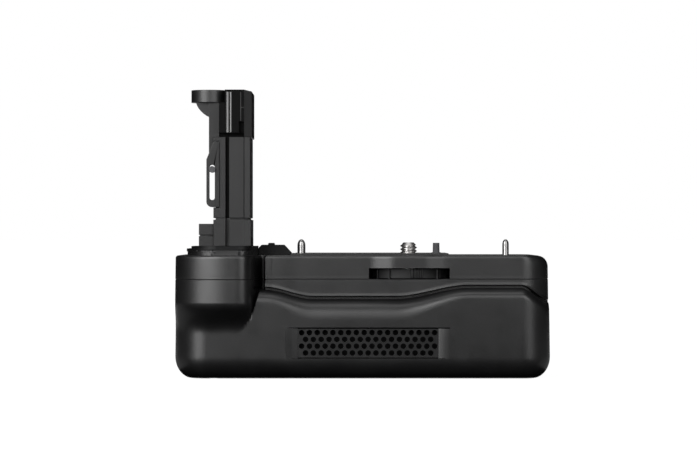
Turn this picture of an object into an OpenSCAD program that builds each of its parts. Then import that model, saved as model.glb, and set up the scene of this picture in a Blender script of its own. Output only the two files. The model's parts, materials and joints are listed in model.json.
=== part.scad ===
// Camera battery grip with a cooling fan, in millimetres.
// X runs to the right as seen from the front, -Y is the front, +Z is up, and the grip stands on Z = 0.

/* [Battery] */
// Length of the battery that slides into the right end
battery_l = 57; // [50:0.5:66]
// Width of the battery, front to back
battery_w = 38.4; // [34:0.2:42]
// Thickness of the battery
battery_t = 21; // [18:0.5:25]
// Play round the battery in its tray
battery_play = 0.6; // [0.4:0.1:1]

/* [Body] */
// Depth of the body from the hand-grip bulge to the back
body_d = 74; // [70:0.5:84]
// Height of the upper housing above the parting line
upper_h = 8.8; // [8.4:0.1:11]
// Wall thickness of both housings
wall = 2.4; // [1.8:0.1:2.8]
// Radius of the hand-grip bulge seen from above
bulge_r = 14.5; // [13.5:0.1:16]
// Depth of the bulge's rounding seen from above
bulge_d = 12; // [10:0.1:14]
// How far the lower front lies behind the bulge
low_back = 7; // [5:0.2:8]
// How far the upper front wall lies behind the bulge
wall_back = 13; // [11:0.2:14]
// How far the valley beside the bulge lies behind the bulge
valley_back = 21; // [17:0.2:22]
// Depth of the finger groove behind the upper front wall
groove_d = 2.2; // [1:0.1:3]
// Width of the valley beside the bulge
valley_w = 4.1; // [3.8:0.1:6]
// Height of the rounding along the bottom edge
bottom_round_h = 8; // [5:0.2:9]
// Depth of the rounding along the bottom edge
bottom_round_d = 6.5; // [4:0.1:7]
// Radius of the front right corner seen from above
right_r = 11; // [8:0.5:13]
// Radius of the two rear corners seen from above
rear_r = 10; // [8:0.5:12]
// Spare length between the blower and the battery tray
spare_l = 1.85; // [0.5:0.05:8]

/* [Grille] */
// Width of the grille panel
grille_w = 60.2; // [52:0.2:66]
// Height of the grille panel
grille_h = 11.3; // [10.8:0.1:12]
// Radius of one grille hole
grille_hole_r = 0.98; // [0.7:0.02:1.1]
// Distance between neighbouring grille holes
grille_pitch = 2.88; // [2.7:0.01:3]
// Holes in the long grille rows
grille_holes = 18; // [12:1:18]

/* [Lock wheel and pins] */
// Distance of the mounting screw from the right end
screw_from_right = 52.1; // [50:0.1:54]
// Outer radius of the mounting screw's thread
screw_r = 3.1; // [2.8:0.05:3.2]
// Pitch of the mounting screw's thread
screw_pitch = 1.27; // [1:0.01:1.5]
// How far the mounting screw stands above the top face
screw_up = 4.7; // [4:0.1:5.5]
// Radius of the lock wheel
wheel_r = 16; // [14.5:0.1:16.4]
// Thickness of the lock wheel
wheel_t = 3.4; // [3:0.1:3.6]
// Distance of the left locating pin from the screw
pin_left_from_screw = 40; // [38:0.1:42]
// Radius of the left locating pin
pin_left_r = 1.5; // [1.2:0.05:1.8]
// Distance of the right locating pin from the screw
pin_right_from_screw = 36.3; // [33:0.1:38]
// Radius of the right locating pin
pin_right_r = 1.2; // [1:0.05:1.5]
// How far both locating pins stand above the top face
pin_up = 5.9; // [4:0.1:7]
// Distance of the tapered index pin from the screw
index_from_screw = 10.3; // [9:0.1:12]
// Thickness of the pad on the top face
pad_t = 0.7; // [0.4:0.1:1]

/* [Tower] */
// Height of the tower's top above the top face of the body
tower_h = 60.8; // [56:0.2:66]
// Width of the tower column
tower_w = 13.7; // [13:0.1:14.4]
// Depth of the tower, front to back
tower_d = 35; // [32:0.5:36]
// Height of the tower base's top above the top face
base_h = 13.1; // [12:0.1:15]
// Height of the tower head
head_h = 17.4; // [16:0.1:19]
// Width of the dark groove between the tower's shells
spine_t = 1.36; // [1:0.02:1.8]
// Radius of the round disc beside the tower head
disc_r = 6.45; // [5.6:0.05:6.8]
// Thickness of the round disc
disc_t = 4.6; // [3:0.1:6]
// Height of the collar round the tower's foot
collar_h = 3.4; // [2.4:0.1:4]
// Length of the slot in the ear
slot_l = 12.9; // [9:0.1:14]
// Width of the slot in the ear
slot_w = 1.96; // [1.6:0.02:2.2]

/* [Fan] */
// Radius of the fan rotor
rotor_r = 12; // [10.5:0.1:12.5]
// Height of the fan blades
blade_h = 8; // [5:0.1:10]
// Number of fan blades
blade_count = 15; // [9:1:21]
// Width of the air duct along the body
duct_w = 9; // [8.4:0.1:10]
// Wall of the blower and of the duct
duct_wall = 1; // [0.8:0.1:1.2]

/* [Door] */
// Thickness of the battery door
door_t = 2.4; // [2:0.1:3]
// Radius of the door's hinge pin
hinge_pin_r = 0.6; // [0.5:0.05:0.8]
// Thickness of the lock slider behind the door
latch_t = 1.4; // [1:0.1:2]
// Travel of the lock slider
latch_travel = 2.5; // [1.5:0.1:3]

/* [Hidden] */
$fn = 48;

// Clearances: fit is between seated pieces, run is round a turning pin, gap keeps moving pieces apart
fit = 0.1;
run = 0.04;
gap = 0.35;
// Overlap that makes a cut pass clean through a face, and that joins two forms of one piece
cut = 1;
sink = 0.2;

// Heights, from the floor up
bush_l = 6;
tray_wall = 1.2;
tray_z = bush_l + fit;
bay_z = tray_z + tray_wall;
bay_h = battery_t + battery_play;
tray_top = bay_z + bay_h + tray_wall;
standoff_h = 0.6;
board_z = tray_top + standoff_h;
board_t = 1.6;
bracket_t = 1.8;
board_room = 1.5;
bracket_z = board_z + board_t + board_room;
bracket_top = bracket_z + bracket_t;
bracket_drop = 1;
part_z = bracket_top + bracket_drop;
body_h = part_z + upper_h;
roof_z = body_h - wall;

// Lengths, from the right end to the left
end_skin = 0.4;
bay_l = battery_l + battery_play;
block_t = 3;
mouth_from_right = end_skin + door_t + latch_t + 2 * gap;
tray_from_right = mouth_from_right + bay_l + block_t + tray_wall;
volute_gap = 1;
volute_grow = 1.5;
blower_r = rotor_r + volute_gap + volute_grow + duct_wall;
body_w = tray_from_right + gap + spare_l + 2 * blower_r + gap + duct_w + gap + 2 * bulge_r;
right_x = body_w / 2;
left_x = -body_w / 2;
mouth_x = right_x - mouth_from_right;
tray_x = right_x - tray_from_right;
blower_x = tray_x - gap - spare_l - blower_r;
duct_x = blower_x - blower_r - gap - duct_w;
grip_x = left_x + 2 * bulge_r;

// Depths
front_y = -body_d / 2;
rear_y = body_d / 2;
low_y = front_y + low_back;
wall_y = front_y + wall_back;
valley_y = front_y + valley_back;
bay_w = battery_w + battery_play;
tray_from_back = 6;
tray_y1 = rear_y - wall - tray_from_back;
tray_y0 = tray_y1 - bay_w - 2 * tray_wall;
bay_y0 = tray_y0 + tray_wall;
column_x = left_x + bulge_r;
column_y = front_y + bulge_d;

// Lock wheel and screw axis
wheel_proud = 0.5;
screw_x = right_x - screw_from_right;
screw_y = wall_y - wheel_proud + wheel_r;
wheel_z = part_z + gap;
bracket_lap = 3.5;
bracket_half = wheel_r + bracket_lap;
window_h = wheel_t + 2 * gap;
window_in = 0.9;
window_corner = 0.5;
window_w = 2 * (wheel_r - window_in);

// Lines of the front: the lip above the finger groove and the round shoulder below it
lip_drop = 6.1;
lip_left_rise = 3.4;
lip_right_rise = 4.1;
lip_end_drop = 5.5;
lip_round = 0.4;
lip_bead = 0.3;
lip_bead_h = 1.2;
shoulder_drop = 1.2;
shoulder_left = 5;
shoulder_mid = 8;
shoulder_right = 4;
valley_soft = 2.4;
valley_edge = 0.8;
// Squareness of the bulge's right corner seen from above, 2 being an ellipse
bulge_square = 2.8;
bulge_foot_drop = 20.1;
bulge_foot_z = part_z - bulge_foot_drop;
bulge_foot_h = 11.3;
// How much steeper the bulge's foot is towards its top, 1 being even
bulge_foot_bias = 1.35;
crest_in = 7.3;
crest_flat = 1.5;
crest_x = grip_x - crest_in;
left_r = 12;
strip_w = 2.3;
strip_start = 0.55;
strip_out = 1;
strip_run = 10;
hood_out = 1.6;
hood_half = 13;
hood_ramp = 6;
end_draft = 0.5;
top_round = 1;
right_top_round = 4.2;

// A step from 0 at a to 1 at b with soft ends
function ease(a, b, v) = let (u = min(1, max(0, (v - a) / (b - a)))) u * u * (3 - 2 * u);

// Sideways inset of a quarter-round edge, u running from 0 to 1 towards the rim
function round_in(u) = 1 - sqrt(1 - pow(min(1, max(0, u)), 2));

// Share of the shoulder's depth, u running up it from 0 to 1; it starts softer than a quarter-round
shoulder_soft = 2.6;
function shoulder_part(u) = sqrt(1 - pow(min(1, max(0, u)), shoulder_soft));

// Height of the lip along the body, and the round shoulder below it
lip_left_run = 22;
lip_right_from_screw = 5;
lip_right_run = 27;
lip_left_x = grip_x + lip_left_run;
lip_right_x = screw_x - lip_right_from_screw;
function left_part(x) = ease(grip_x + valley_w, lip_left_x, x);
function right_part(x) = ease(lip_right_x, lip_right_x + lip_right_run, x);
function lip_z(x) = part_z - lip_drop + lip_left_rise * (1 - left_part(x)) + lip_right_rise * right_part(x)
    - lip_end_drop * ease(right_x - right_r, right_x, x);
function shoulder_h(x) = shoulder_left + (shoulder_mid - shoulder_left) * left_part(x)
    - (shoulder_mid - shoulder_right) * right_part(x);
function shoulder_top(x) = lip_z(x) - shoulder_drop;
function edge_z(x) = shoulder_top(x) - shoulder_h(x);

// Inset of the outline at a height: bottom and top rounding all round, draft and a larger
// rounding at the ends
function edge_in(z) = bottom_round_d * round_in((bottom_round_h - z) / bottom_round_h)
    + top_round * round_in((z - body_h + top_round) / top_round);
function end_in(z) = end_draft * max(0, z - bottom_round_h) / (body_h - bottom_round_h);
function right_in(z) = end_in(z)
    + right_top_round * round_in((z - body_h + right_top_round) / right_top_round);

// How far the bulge has drawn back to the lower front at a height, and how long its left curve is there
function bulge_in(z) = let (u = min(1, max(0, (z - bulge_foot_z) / bulge_foot_h)))
    low_back * (1 - ease(0, 1, pow(u, bulge_foot_bias)));
function left_run(z) = left_r + (crest_x - crest_flat - left_x - left_r) * (1 - bulge_in(z) / low_back);

// Share of the valley at a point of the front, above a floor that climbs to the right
valley_h = 12;
valley_climb = 3.2;
valley_end_h = 4.7;
valley_floor_soft = 1.6;
valley_x = grip_x + valley_w;
function valley_floor(x) = part_z - max(valley_end_h, valley_h - valley_climb * (x - grip_x));
function valley_part(x, z, t) =
    ease(grip_x - valley_soft / 2 - t, grip_x + valley_soft / 2 - t, x)
    * (1 - ease(valley_x - valley_edge / 2 + t, valley_x + valley_edge / 2 + t, x))
    * ease(valley_floor(x) - t, valley_floor(x) + valley_floor_soft - t, z);

// How far the wall stands out in the strip beside the valley and in the hood over the wheel window
strip_x = valley_x + valley_edge / 2 + strip_w;
function strip_at(x) = x < strip_x
    ? strip_start + (strip_out - strip_start) * max(0, (x - valley_x) / (strip_x - valley_x))
    : strip_out * pow(max(0, 1 - (x - strip_x) / strip_run), 2);
function hood_at(x, z) = z <= part_z ? 0
    : hood_out * min(1, max(0, (hood_half - abs(x - screw_x)) / hood_ramp));

// Front of the body at a place along it and a height, t inside the skin; the lip lies higher and the
// shoulder lower inside, so that the skin stays thick under both
function bead_at(x, z) = lip_bead * pow(min(1, max(0, 1 - (z - lip_z(x)) / lip_bead_h)), 2);
function plain_front(x, z, t) = wall_y + groove_d
    - max((groove_d + strip_at(x) + hood_at(x, z) + bead_at(x, z - t))
        * ease(lip_z(x) - lip_round, lip_z(x), z - t),
    (wall_back - low_back + groove_d) * shoulder_part((z + t - edge_z(x)) / shoulder_h(x)));
function open_front(x, z, t) = let (y = plain_front(x, z, t)) y + (valley_y - y) * valley_part(x, z, t) + t;
function column_front(x, z, t) = let (r = crest_in - t, d = max(0, x - crest_x))
    d >= r ? rear_y
    : column_y + bulge_in(z) - (bulge_d - t) * pow(1 - pow(d / r, bulge_square), 1 / bulge_square);
function front_at(x, z, t) = min(open_front(x, z, t), column_front(x, z, t));

// Places along the front at which the outline is drawn
corner_n = 6;
left_n = 8;
bulge_steps = 5;
valley_steps = 8;
strip_steps = 2;
wall_steps = 21;
valley_start = grip_x - valley_soft;
valley_end = valley_x + valley_edge / 2;
corner_x = right_x - right_r;
function between(a, b, u) = a + (b - a) * u;
front_xs = concat([for (i = [0:bulge_steps]) between(crest_x, valley_start, i / bulge_steps)],
    [for (i = [1:valley_steps]) between(valley_start, valley_end, i / valley_steps)],
    [for (i = [1:strip_steps]) between(valley_end, strip_x, i / strip_steps)],
    [for (i = [1:wall_steps]) between(strip_x, corner_x, i / wall_steps)]);

// Outline of the body, inset from the skin, counter-clockwise from above; height(x) gives its
// height along the body
function ring(height, inset) = concat(
    [for (i = [0:left_n]) let (a = 90 * i / left_n, z = height(left_x), t = edge_in(z) + inset,
        run = left_run(z))
        [left_x + run - (run - t - end_in(z)) * cos(a), column_y - (bulge_d - t) * sin(a) + bulge_in(z), z]],
    [for (x = front_xs) let (z = height(x)) [x, front_at(x, z, edge_in(z) + inset), z]],
    [for (i = [1:corner_n]) let (a = 90 * i / corner_n, z = height(corner_x + right_r * sin(a)),
        t = edge_in(z) + inset, x = corner_x + (right_r - t - right_in(z)) * sin(a))
        [x, open_front(corner_x + right_r * sin(a), z, t) + (right_r - t) * (1 - cos(a)), z]],
    [for (i = [0:corner_n]) let (a = 90 * i / corner_n, z = height(right_x), t = edge_in(z) + inset)
        [right_x - rear_r + (rear_r - t - right_in(z)) * cos(a), rear_y - rear_r + (rear_r - t) * sin(a), z]],
    [for (i = [0:corner_n]) let (a = 90 * i / corner_n, z = height(left_x), t = edge_in(z) + inset)
        [left_x + rear_r - (rear_r - t - end_in(z)) * sin(a), rear_y - rear_r + (rear_r - t) * cos(a), z]]);

// Solid stacked from outlines; height(k, x) is the height of outline k along the body
module stacked(count, height, inset) {
    rings = [for (k = [0:count - 1]) ring(function (x) height(k, x), inset)];
    n = len(rings[0]);
    sides = [for (k = [0:count - 2], i = [0:n - 1]) let (j = (i + 1) % n)
        each [[k * n + i, (k + 1) * n + i, (k + 1) * n + j], [k * n + i, (k + 1) * n + j, k * n + j]]];
    floor_face = [for (i = [0:n - 1]) i];
    roof_face = [for (i = [0:n - 1]) count * n - 1 - i];
    polyhedron(points = [for (r = rings, p = r) p], faces = concat(sides, [floor_face, roof_face]));
}

// Outlines of the lower housing follow the round shoulder and the lip above it
round_rows = 6;
face_rows = 9;
shoulder_rows = 6;
lip_rows = 3;
bead_rows = 1;
wall_rows = 1;
edge_row = round_rows + face_rows;
shoulder_row = edge_row + shoulder_rows;
lip_row = shoulder_row + lip_rows;
low_rows = lip_row + bead_rows + wall_rows;
low_height = function (k, x)
    k <= round_rows ? bottom_round_h * (1 - cos(90 * k / round_rows))
    : k <= edge_row ? between(bottom_round_h, edge_z(x), (k - round_rows) / face_rows)
    : k <= shoulder_row ? between(edge_z(x), shoulder_top(x), sin(90 * (k - edge_row) / shoulder_rows))
    : k <= lip_row ? between(shoulder_top(x), lip_z(x), (k - shoulder_row) / lip_rows)
    : k < low_rows ? lip_z(x) + lip_bead_h
    : part_z;
cavity_height = function (k, x)
    k <= low_rows ? wall + low_height(k, x) * (part_z - wall) / part_z : part_z + cut;

// Outlines of the upper housing are level and close up towards its top edge
top_rows = 6;
high_height = function (k, x)
    k < 2 ? part_z + k * (upper_h - right_top_round) / 2
    : body_h - right_top_round * (1 - sin(90 * (k - 2) / (top_rows - 1)));
roof_height = function (k, x) [part_z - cut, part_z + upper_h / 3, roof_z][k];

// Upright bar with round corners between two opposite corners of a box
module soft_box(low, high, r) {
    hull()
        for (x = [low.x + r, high.x - r], y = [low.y + r, high.y - r])
            translate([x, y, low.z]) cylinder(r = r, h = high.z - low.z, $fn = 24);
}

module box(low, high) translate(low) cube(high - low);

module rod(x, y, z, r, h) translate([x, y, z]) cylinder(r = r, h = h);

// Bottom of the ledges that carry the blower and the duct
ledge_h = 1.6;
blower_from_front = 21;
blower_base = 1.2;
rotor_plate = 1;
blower_z = wall + ledge_h;
blower_y = tray_y0 + blower_from_front;
blower_h = blower_base + gap + rotor_plate + blade_h + 2 * gap + duct_wall;
outlet_y0 = blower_y - blower_r;
outlet_in = 4;
outlet_w = blower_r - outlet_in;
outlet_y1 = outlet_y0 + outlet_w;
cover_z = blower_z + blower_h - duct_wall;
out_x = duct_x + duct_w + fit;

// Posts that take the housing screws
post_r = 2.3;
post_hole_r = 1.05;
screw_head_r = 1.9;
screw_head_h = 1.2;
screw_head_in = 0.4;
screw_bite = 3.5;
post_in = 9;
post_aside = 3;
post_behind = 2;
post_clear = 4;
post_rear_y = rear_y - wall - post_r - gap;
posts = [[left_x + post_in, rear_y - post_in], [grip_x + post_aside, post_rear_y],
    [right_x - post_in, post_rear_y],
    [column_x, column_y + post_behind],
    [screw_x + bracket_half + post_r + post_clear, tray_y0 - post_r - gap]];

// Grille window
grille_from_screw = 15.2;
grille_x = screw_x - grille_from_screw;
grille_z = 7.7;
grille_t = 1.6;
grille_recess = 1.5;
grille_ramp = 4.3;
ramp_steps = 6;

// Battery door and its hinge
bay_y1 = bay_y0 + bay_w;
door_lap = 1;
door_lap_low = 0.6;
door_lap_high = 0.8;
hinge_from_bay = 2.2;
door_y0 = bay_y0 - door_lap;
hinge_y = bay_y1 + hinge_from_bay;
door_z0 = bay_z - door_lap_low;
door_z1 = bay_z + bay_h + door_lap_high;
door_x1 = right_x - end_skin;
door_x0 = door_x1 - door_t;
hinge_x = door_x1 - door_t / 2;
hinge_pin_in = 1.6;
hinge_pin_z = door_z0 - hinge_pin_in;
hinge_pin_l = door_z1 - door_z0 + 2 * hinge_pin_in;

// Lock slider of the door
latch_x = mouth_x + gap;
latch_z = bay_z + bay_h / 2;
latch_half = 4;
latch_l = 13;
latch_in = 0.3;
nub_in = 5.5;
latch_y0 = door_y0 + latch_in;
latch_y1 = latch_y0 + latch_l;
nub_y0 = latch_y0 + nub_in;
nub_l = 5;
nub_half = 3;
nub_up = 0.2;
rail_half = 0.5;
rail_past = 2;

// Battery catch beside the tray's mouth
catch_up = 1;
catch_z = bay_z + catch_up;
catch_h = 4;
catch_pin_r = 0.8;
catch_boss_r = 1.7;
catch_arm = 1.2;
catch_l = 14.4;
catch_hook = 1.4;
catch_hook_t = 0.9;
catch_x = mouth_x - catch_l;
catch_y = tray_y0 - gap - catch_boss_r;
ear_plate = 1.2;
ear_half = 2.4;
spring_from_mouth = 6;
spring_l = 4;
spring_x = mouth_x - spring_from_mouth;
spring_r = 1.3;
spring_wire = 0.2;
spring_turns = 4;
spring_y1 = catch_y - catch_arm - fit;
spring_y0 = spring_y1 - spring_l;
tab_half = 2.5;
tab_y0 = spring_y0 - fit - tray_wall;

// Upper housing's openings and the lock bracket
tower_in = 0.75;
tower_x1 = grip_x - tower_in;
tower_x0 = tower_x1 - tower_w;
tower_y0 = front_y + low_back;
tower_y1 = tower_y0 + tower_d;
root_in = 3;
root_left_in = 0.8;
root_right_in = 3.2;
root_low = [tower_x0 + root_left_in, tower_y0 + root_in];
root_high = [tower_x1 - root_right_in, tower_y1 - root_in];
nozzle_in = 1.3;
nozzle_lap = 2;
nozzle_x0 = duct_x + nozzle_in;
nozzle_y0 = outlet_y0 - nozzle_lap;
nozzle_y1 = outlet_y1 + nozzle_lap;
spigot_x0 = duct_x + duct_wall + fit;
spigot_x1 = duct_x + duct_w - duct_wall - fit;
spigot_y0 = outlet_y0 + duct_wall + fit;
spigot_y1 = outlet_y1 - duct_wall - fit;
hub_r = 5;
shank_in = 0.5;
shank_r = screw_r - shank_in;
bracket_front = 10.2;
bracket_back = 14.5;
bracket_hole_in = 2.5;
bracket_posts = [for (s = [-1, 1], y = [bracket_hole_in - bracket_front, bracket_back - bracket_hole_in])
    [screw_x + s * (bracket_half - bracket_hole_in), screw_y + y]];
bracket_post_r = 1.8;
bracket_hole_r = 0.85;
bracket_bite = 4;
bracket_head_r = 1.5;
bracket_head_h = 0.8;
pin_behind_screw = 2;
pin_y = screw_y + pin_behind_screw;
pin_foot = 0.4;
pin_in = 2;
pin_boss = 1.2;
hole_corner = 0.3;
screw_room = 0.6;

module lower_housing() {
    color([0.16, 0.16, 0.17]) difference() {
        union() {
            difference() {
                stacked(low_rows + 1, low_height, 0);
                stacked(low_rows + 2, cavity_height, wall);
            }
            for (p = posts) rod(p.x, p.y, wall - sink, post_r, part_z - wall + sink);
            for (u = [-0.6, -0.2, 0.2, 0.6])
                floor_rib(blower_x + u * blower_r, blower_y - blower_r / 2, blower_y + blower_r / 2,
                    blower_z);
            floor_rib(duct_x + duct_w / 2, outlet_y0 + duct_wall, outlet_y1 - duct_wall, blower_z);
            for (u = [0.1, 0.5, 0.75, 0.95])
                floor_rib(between(tray_x, mouth_x, u), bay_y0, bay_y1, tray_z);
        }
        for (p = posts) {
            rod(p.x, p.y, -cut, post_hole_r, part_z + 2 * cut);
            rod(p.x, p.y, -cut, screw_head_r + fit, screw_head_h + screw_head_in + cut);
        }
        rod(screw_x, screw_y, -cut, bush_r + fit, wall + 2 * cut);
        box([grille_x - grille_w / 2 - fit, front_y, grille_z - fit],
            [grille_x + grille_w / 2 + fit, low_y + wall + 2 * cut, grille_z + grille_h + fit]);
        box([mouth_x, door_y0 - gap, door_z0 - gap],
            [right_x + cut, hinge_y + door_t / 2 + gap, door_z1 + gap]);
        rod(hinge_x, hinge_y, hinge_pin_z - fit, hinge_pin_r + fit, hinge_pin_l + 2 * fit);
    }
}

// Rib on the floor with round ends
rib_r = 0.7;
module floor_rib(x, y0, y1, top) {
    hull()
        for (y = [y0, y1]) rod(x, y, wall - sink, rib_r, top - wall + sink, $fn = 12);
}

module upper_housing() {
    color([0.17, 0.17, 0.18]) difference() {
        union() {
            difference() {
                stacked(top_rows + 2, high_height, 0);
                stacked(3, roof_height, wall);
            }
            for (p = bracket_posts) rod(p.x, p.y, bracket_top, bracket_post_r, roof_z - bracket_top + sink);
            for (p = posts) rod(p.x, p.y, part_z, post_r, roof_z - part_z + sink);
            for (s = [-pin_left_from_screw, pin_right_from_screw])
                rod(screw_x + s, pin_y, roof_z - pin_in, pin_left_r + pin_foot + pin_boss, pin_in + sink);
            for (i = [1:6]) roof_rib(screw_x + wheel_r + roof_rib_step * i);
        }
        soft_box([screw_x - window_w / 2, front_y, part_z - cut],
            [screw_x + window_w / 2, screw_y - wheel_r / 2, part_z + window_h], window_corner);
        soft_box([root_low.x - fit, root_low.y - fit, part_z],
            [root_high.x + fit, root_high.y + fit, body_h + cut], hole_corner);
        soft_box([spigot_x0 - fit, spigot_y0 - fit, part_z],
            [spigot_x1 + fit, spigot_y1 + fit, body_h + cut], hole_corner);
        rod(screw_x, screw_y, part_z, screw_r + screw_room, upper_h + cut);
        rod(screw_x - pin_left_from_screw, pin_y, part_z, pin_left_r + pin_foot + fit / 2, upper_h + cut);
        rod(screw_x + pin_right_from_screw, pin_y, part_z, pin_right_r + pin_foot + fit / 2, upper_h + cut);
        for (p = posts) rod(p.x, p.y, part_z - cut, post_hole_r - fit, screw_bite + 2 * cut);
        for (p = bracket_posts) rod(p.x, p.y, bracket_z, bracket_hole_r, bracket_t + bracket_bite + cut);
    }
}

// Rib under the roof, behind the wheel
roof_rib_h = 1.2;
roof_rib_step = 4.5;
module roof_rib(x) {
    hull()
        for (y = [screw_y + wheel_r, tray_y1])
            rod(x, y, roof_z - roof_rib_h, rib_r, roof_rib_h + sink, $fn = 12);
}

pad_past_index = 4.4;
pad_front = 9.5;
pad_from_back = 12;
module top_pad() {
    x0 = nozzle_x0 + nozzle_w + 3 * gap;
    x1 = screw_x + index_from_screw + pad_past_index;
    h = pad_t + 2 * cut;
    color([0.1, 0.1, 0.1]) difference() {
        box([x0, screw_y - pad_front, body_h], [x1, rear_y - pad_from_back, body_h + pad_t]);
        rod(screw_x, screw_y, body_h - cut, screw_r + 2 * screw_room, h);
        rod(screw_x + index_from_screw, screw_y, body_h - cut, index_foot_r + gap, h);
        rod(screw_x - pin_left_from_screw, pin_y, body_h - cut, pin_left_r + pin_foot + 2 * fit, h);
    }
}

module front_grille() {
    back = low_y + grille_recess;
    x0 = grille_x - grille_w / 2;
    x1 = grille_x + grille_w / 2;
    ramp = [for (i = [0:ramp_steps]) let (u = i / ramp_steps)
        [grille_ramp * u, low_y + grille_recess * ease(0, 1, u)]];
    face = concat([for (p = ramp) [x0 + p.x, p.y]],
        [for (i = [ramp_steps:-1:0]) [x1 - ramp[i].x, ramp[i].y]]);
    color([0.12, 0.12, 0.12]) difference() {
        translate([0, 0, grille_z]) linear_extrude(grille_h)
            polygon(concat(face, [for (i = [len(face) - 1:-1:0]) face[i] + [0, grille_t]]));
        for (row = [0:3], i = [0:grille_holes - 1 - row % 2])
            translate([grille_x + (i - (grille_holes - 1 - row % 2) / 2) * grille_pitch, back - cut,
                    grille_z + grille_h / 2 + (1.5 - row) * grille_pitch * sqrt(3) / 2])
                rotate([-90, 0, 0]) cylinder(r = grille_hole_r, h = grille_t + 2 * cut);
    }
}

filter_t = 1;
module dust_filter() {
    y = low_y + grille_recess + grille_t;
    color([0.2, 0.2, 0.2])
        box([grille_x - grille_w / 2 + grille_ramp, y, grille_z + gap],
            [grille_x + grille_w / 2 - grille_ramp, y + filter_t, grille_z + grille_h - gap]);
}

// Row of flat battery blades, drawn thicker by extra for their slots
contact_pitch = 4.6;
contact_half = 0.3;
contact_out = 1.5;
contact_reach = 2;
contact_up = 6;
contact_h = 4;
contact_z0 = bay_z + contact_up;
contact_z1 = contact_z0 + contact_h;
contact_ys = [for (i = [0:3]) bay_y0 + bay_w / 2 + (i - 1.5) * contact_pitch];
module blades(extra) {
    for (y = contact_ys)
        box([tray_x - contact_out, y - contact_half - extra, contact_z0 - extra],
            [tray_x + tray_wall + block_t + contact_reach, y + contact_half + extra, contact_z1 + extra]);
}

module battery_tray() {
    top_ear = catch_z + catch_h + gap;
    color([0.22, 0.22, 0.24]) difference() {
        union() {
            box([tray_x, tray_y0, tray_z], [mouth_x, tray_y1, tray_top]);
            for (z = [catch_z - gap - ear_plate, top_ear])
                box([catch_x - ear_half, catch_y - ear_half, z],
                    [catch_x + ear_half, tray_y0 + cut, z + ear_plate]);
            box([spring_x - tab_half, tab_y0, tray_z],
                [spring_x + tab_half, tray_y0 + cut, tray_z + tray_wall]);
            box([spring_x - tab_half, tab_y0, tray_z],
                [spring_x + tab_half, spring_y0 - fit, catch_z + catch_h]);
            for (p = board_holes()) rod(p.x, p.y, tray_top, standoff_r, standoff_h);
        }
        box([tray_x + tray_wall, bay_y0, bay_z], [mouth_x + cut, bay_y1, bay_z + bay_h]);
        rod(catch_x, catch_y, tray_z - cut, catch_pin_r + run, catch_h * 3);
        blades(fit);
        for (p = board_holes())
            rod(p.x, p.y, tray_top - board_bite, board_screw_r + fit / 2, standoff_h + 2 * cut);
    }
}

module terminal_block() {
    color([0.35, 0.33, 0.3]) difference() {
        box([tray_x + tray_wall + 0.02, bay_y0 + fit, bay_z + fit],
            [tray_x + tray_wall + block_t, bay_y1 - fit, bay_z + bay_h - fit]);
        blades(fit / 2);
    }
}

module battery_contacts() color([0.85, 0.7, 0.35]) blades(0);

module battery_catch() {
    hook_x = mouth_x + gap;
    hook_x1 = hook_x + catch_hook_t;
    color([0.75, 0.72, 0.65]) difference() {
        union() {
            rod(catch_x, catch_y, catch_z, catch_boss_r, catch_h);
            box([catch_x, catch_y - catch_arm, catch_z],
                [hook_x1, catch_y + catch_arm, catch_z + catch_h]);
            box([hook_x, catch_y, catch_z], [hook_x1, bay_y0 + catch_hook, catch_z + catch_h]);
        }
        rod(catch_x, catch_y, catch_z - cut, catch_pin_r + run, catch_h + 2 * cut);
    }
}

module catch_pin() {
    z0 = catch_z - gap - ear_plate;
    color("silver") rod(catch_x, catch_y, z0, catch_pin_r, catch_h + 2 * (gap + ear_plate));
}

// Coil spring between the tray's tab and the catch, as one tube along a helix
spring_sides = 6;
spring_steps = 8 * spring_turns;
function spring_point(i) = let (a = 360 * i / 8, u = i / spring_steps)
    [spring_x + (spring_r - spring_wire) * cos(a),
     spring_y0 + spring_wire + (spring_y1 - spring_y0 - 2 * spring_wire) * u,
     catch_z + catch_h / 2 + (spring_r - spring_wire) * sin(a)];
function spring_ring(i) = let (a = 360 * i / 8, c = spring_point(i))
    [for (k = [0:spring_sides - 1]) let (b = 360 * k / spring_sides)
        c + spring_wire * [cos(b) * cos(a), sin(b), cos(b) * sin(a)]];
spring_gap = min([for (i = [0:spring_steps], j = [0:spring_steps]) if (j > i + 4)
    norm(spring_point(i) - spring_point(j)) - 2 * spring_wire]);
echo("Least gap between the curls of the catch spring", spring_gap);
module catch_spring() {
    n = spring_sides;
    pts = [for (i = [0:spring_steps]) each spring_ring(i)];
    sides = [for (i = [0:spring_steps - 1], k = [0:n - 1]) let (l = (k + 1) % n)
        each [[i * n + k, i * n + l, i * n + n + l], [i * n + k, i * n + n + l, i * n + n + k]]];
    last = spring_steps * n;
    ends = [for (k = [1:n - 2]) each [[0, k + 1, k], [last, last + k, last + k + 1]]];
    color("silver") polyhedron(points = pts, faces = concat(sides, ends));
}

module battery_door() {
    slot_y0 = nub_y0 - latch_travel - gap;
    color([0.15, 0.15, 0.16]) difference() {
        union() {
            box([door_x0, door_y0, door_z0], [door_x1, hinge_y, door_z1]);
            rod(hinge_x, hinge_y, door_z0, door_t / 2, door_z1 - door_z0);
            for (s = [-1, 1]) {
                z = latch_z + s * (latch_half + gap + rail_half);
                box([latch_x, door_y0 + door_lap, z - rail_half],
                    [door_x0 + sink, latch_y1 + rail_past, z + rail_half]);
            }
        }
        rod(hinge_x, hinge_y, door_z0 - cut, hinge_pin_r + run, door_z1 - door_z0 + 2 * cut);
        box([door_x0 - cut, slot_y0, latch_z - nub_half - gap],
            [door_x1 + cut, nub_y0 + nub_l + gap, latch_z + nub_half + gap]);
    }
}

module door_hinge_pin() {
    color("silver") rod(hinge_x, hinge_y, hinge_pin_z, hinge_pin_r, hinge_pin_l);
}

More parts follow.
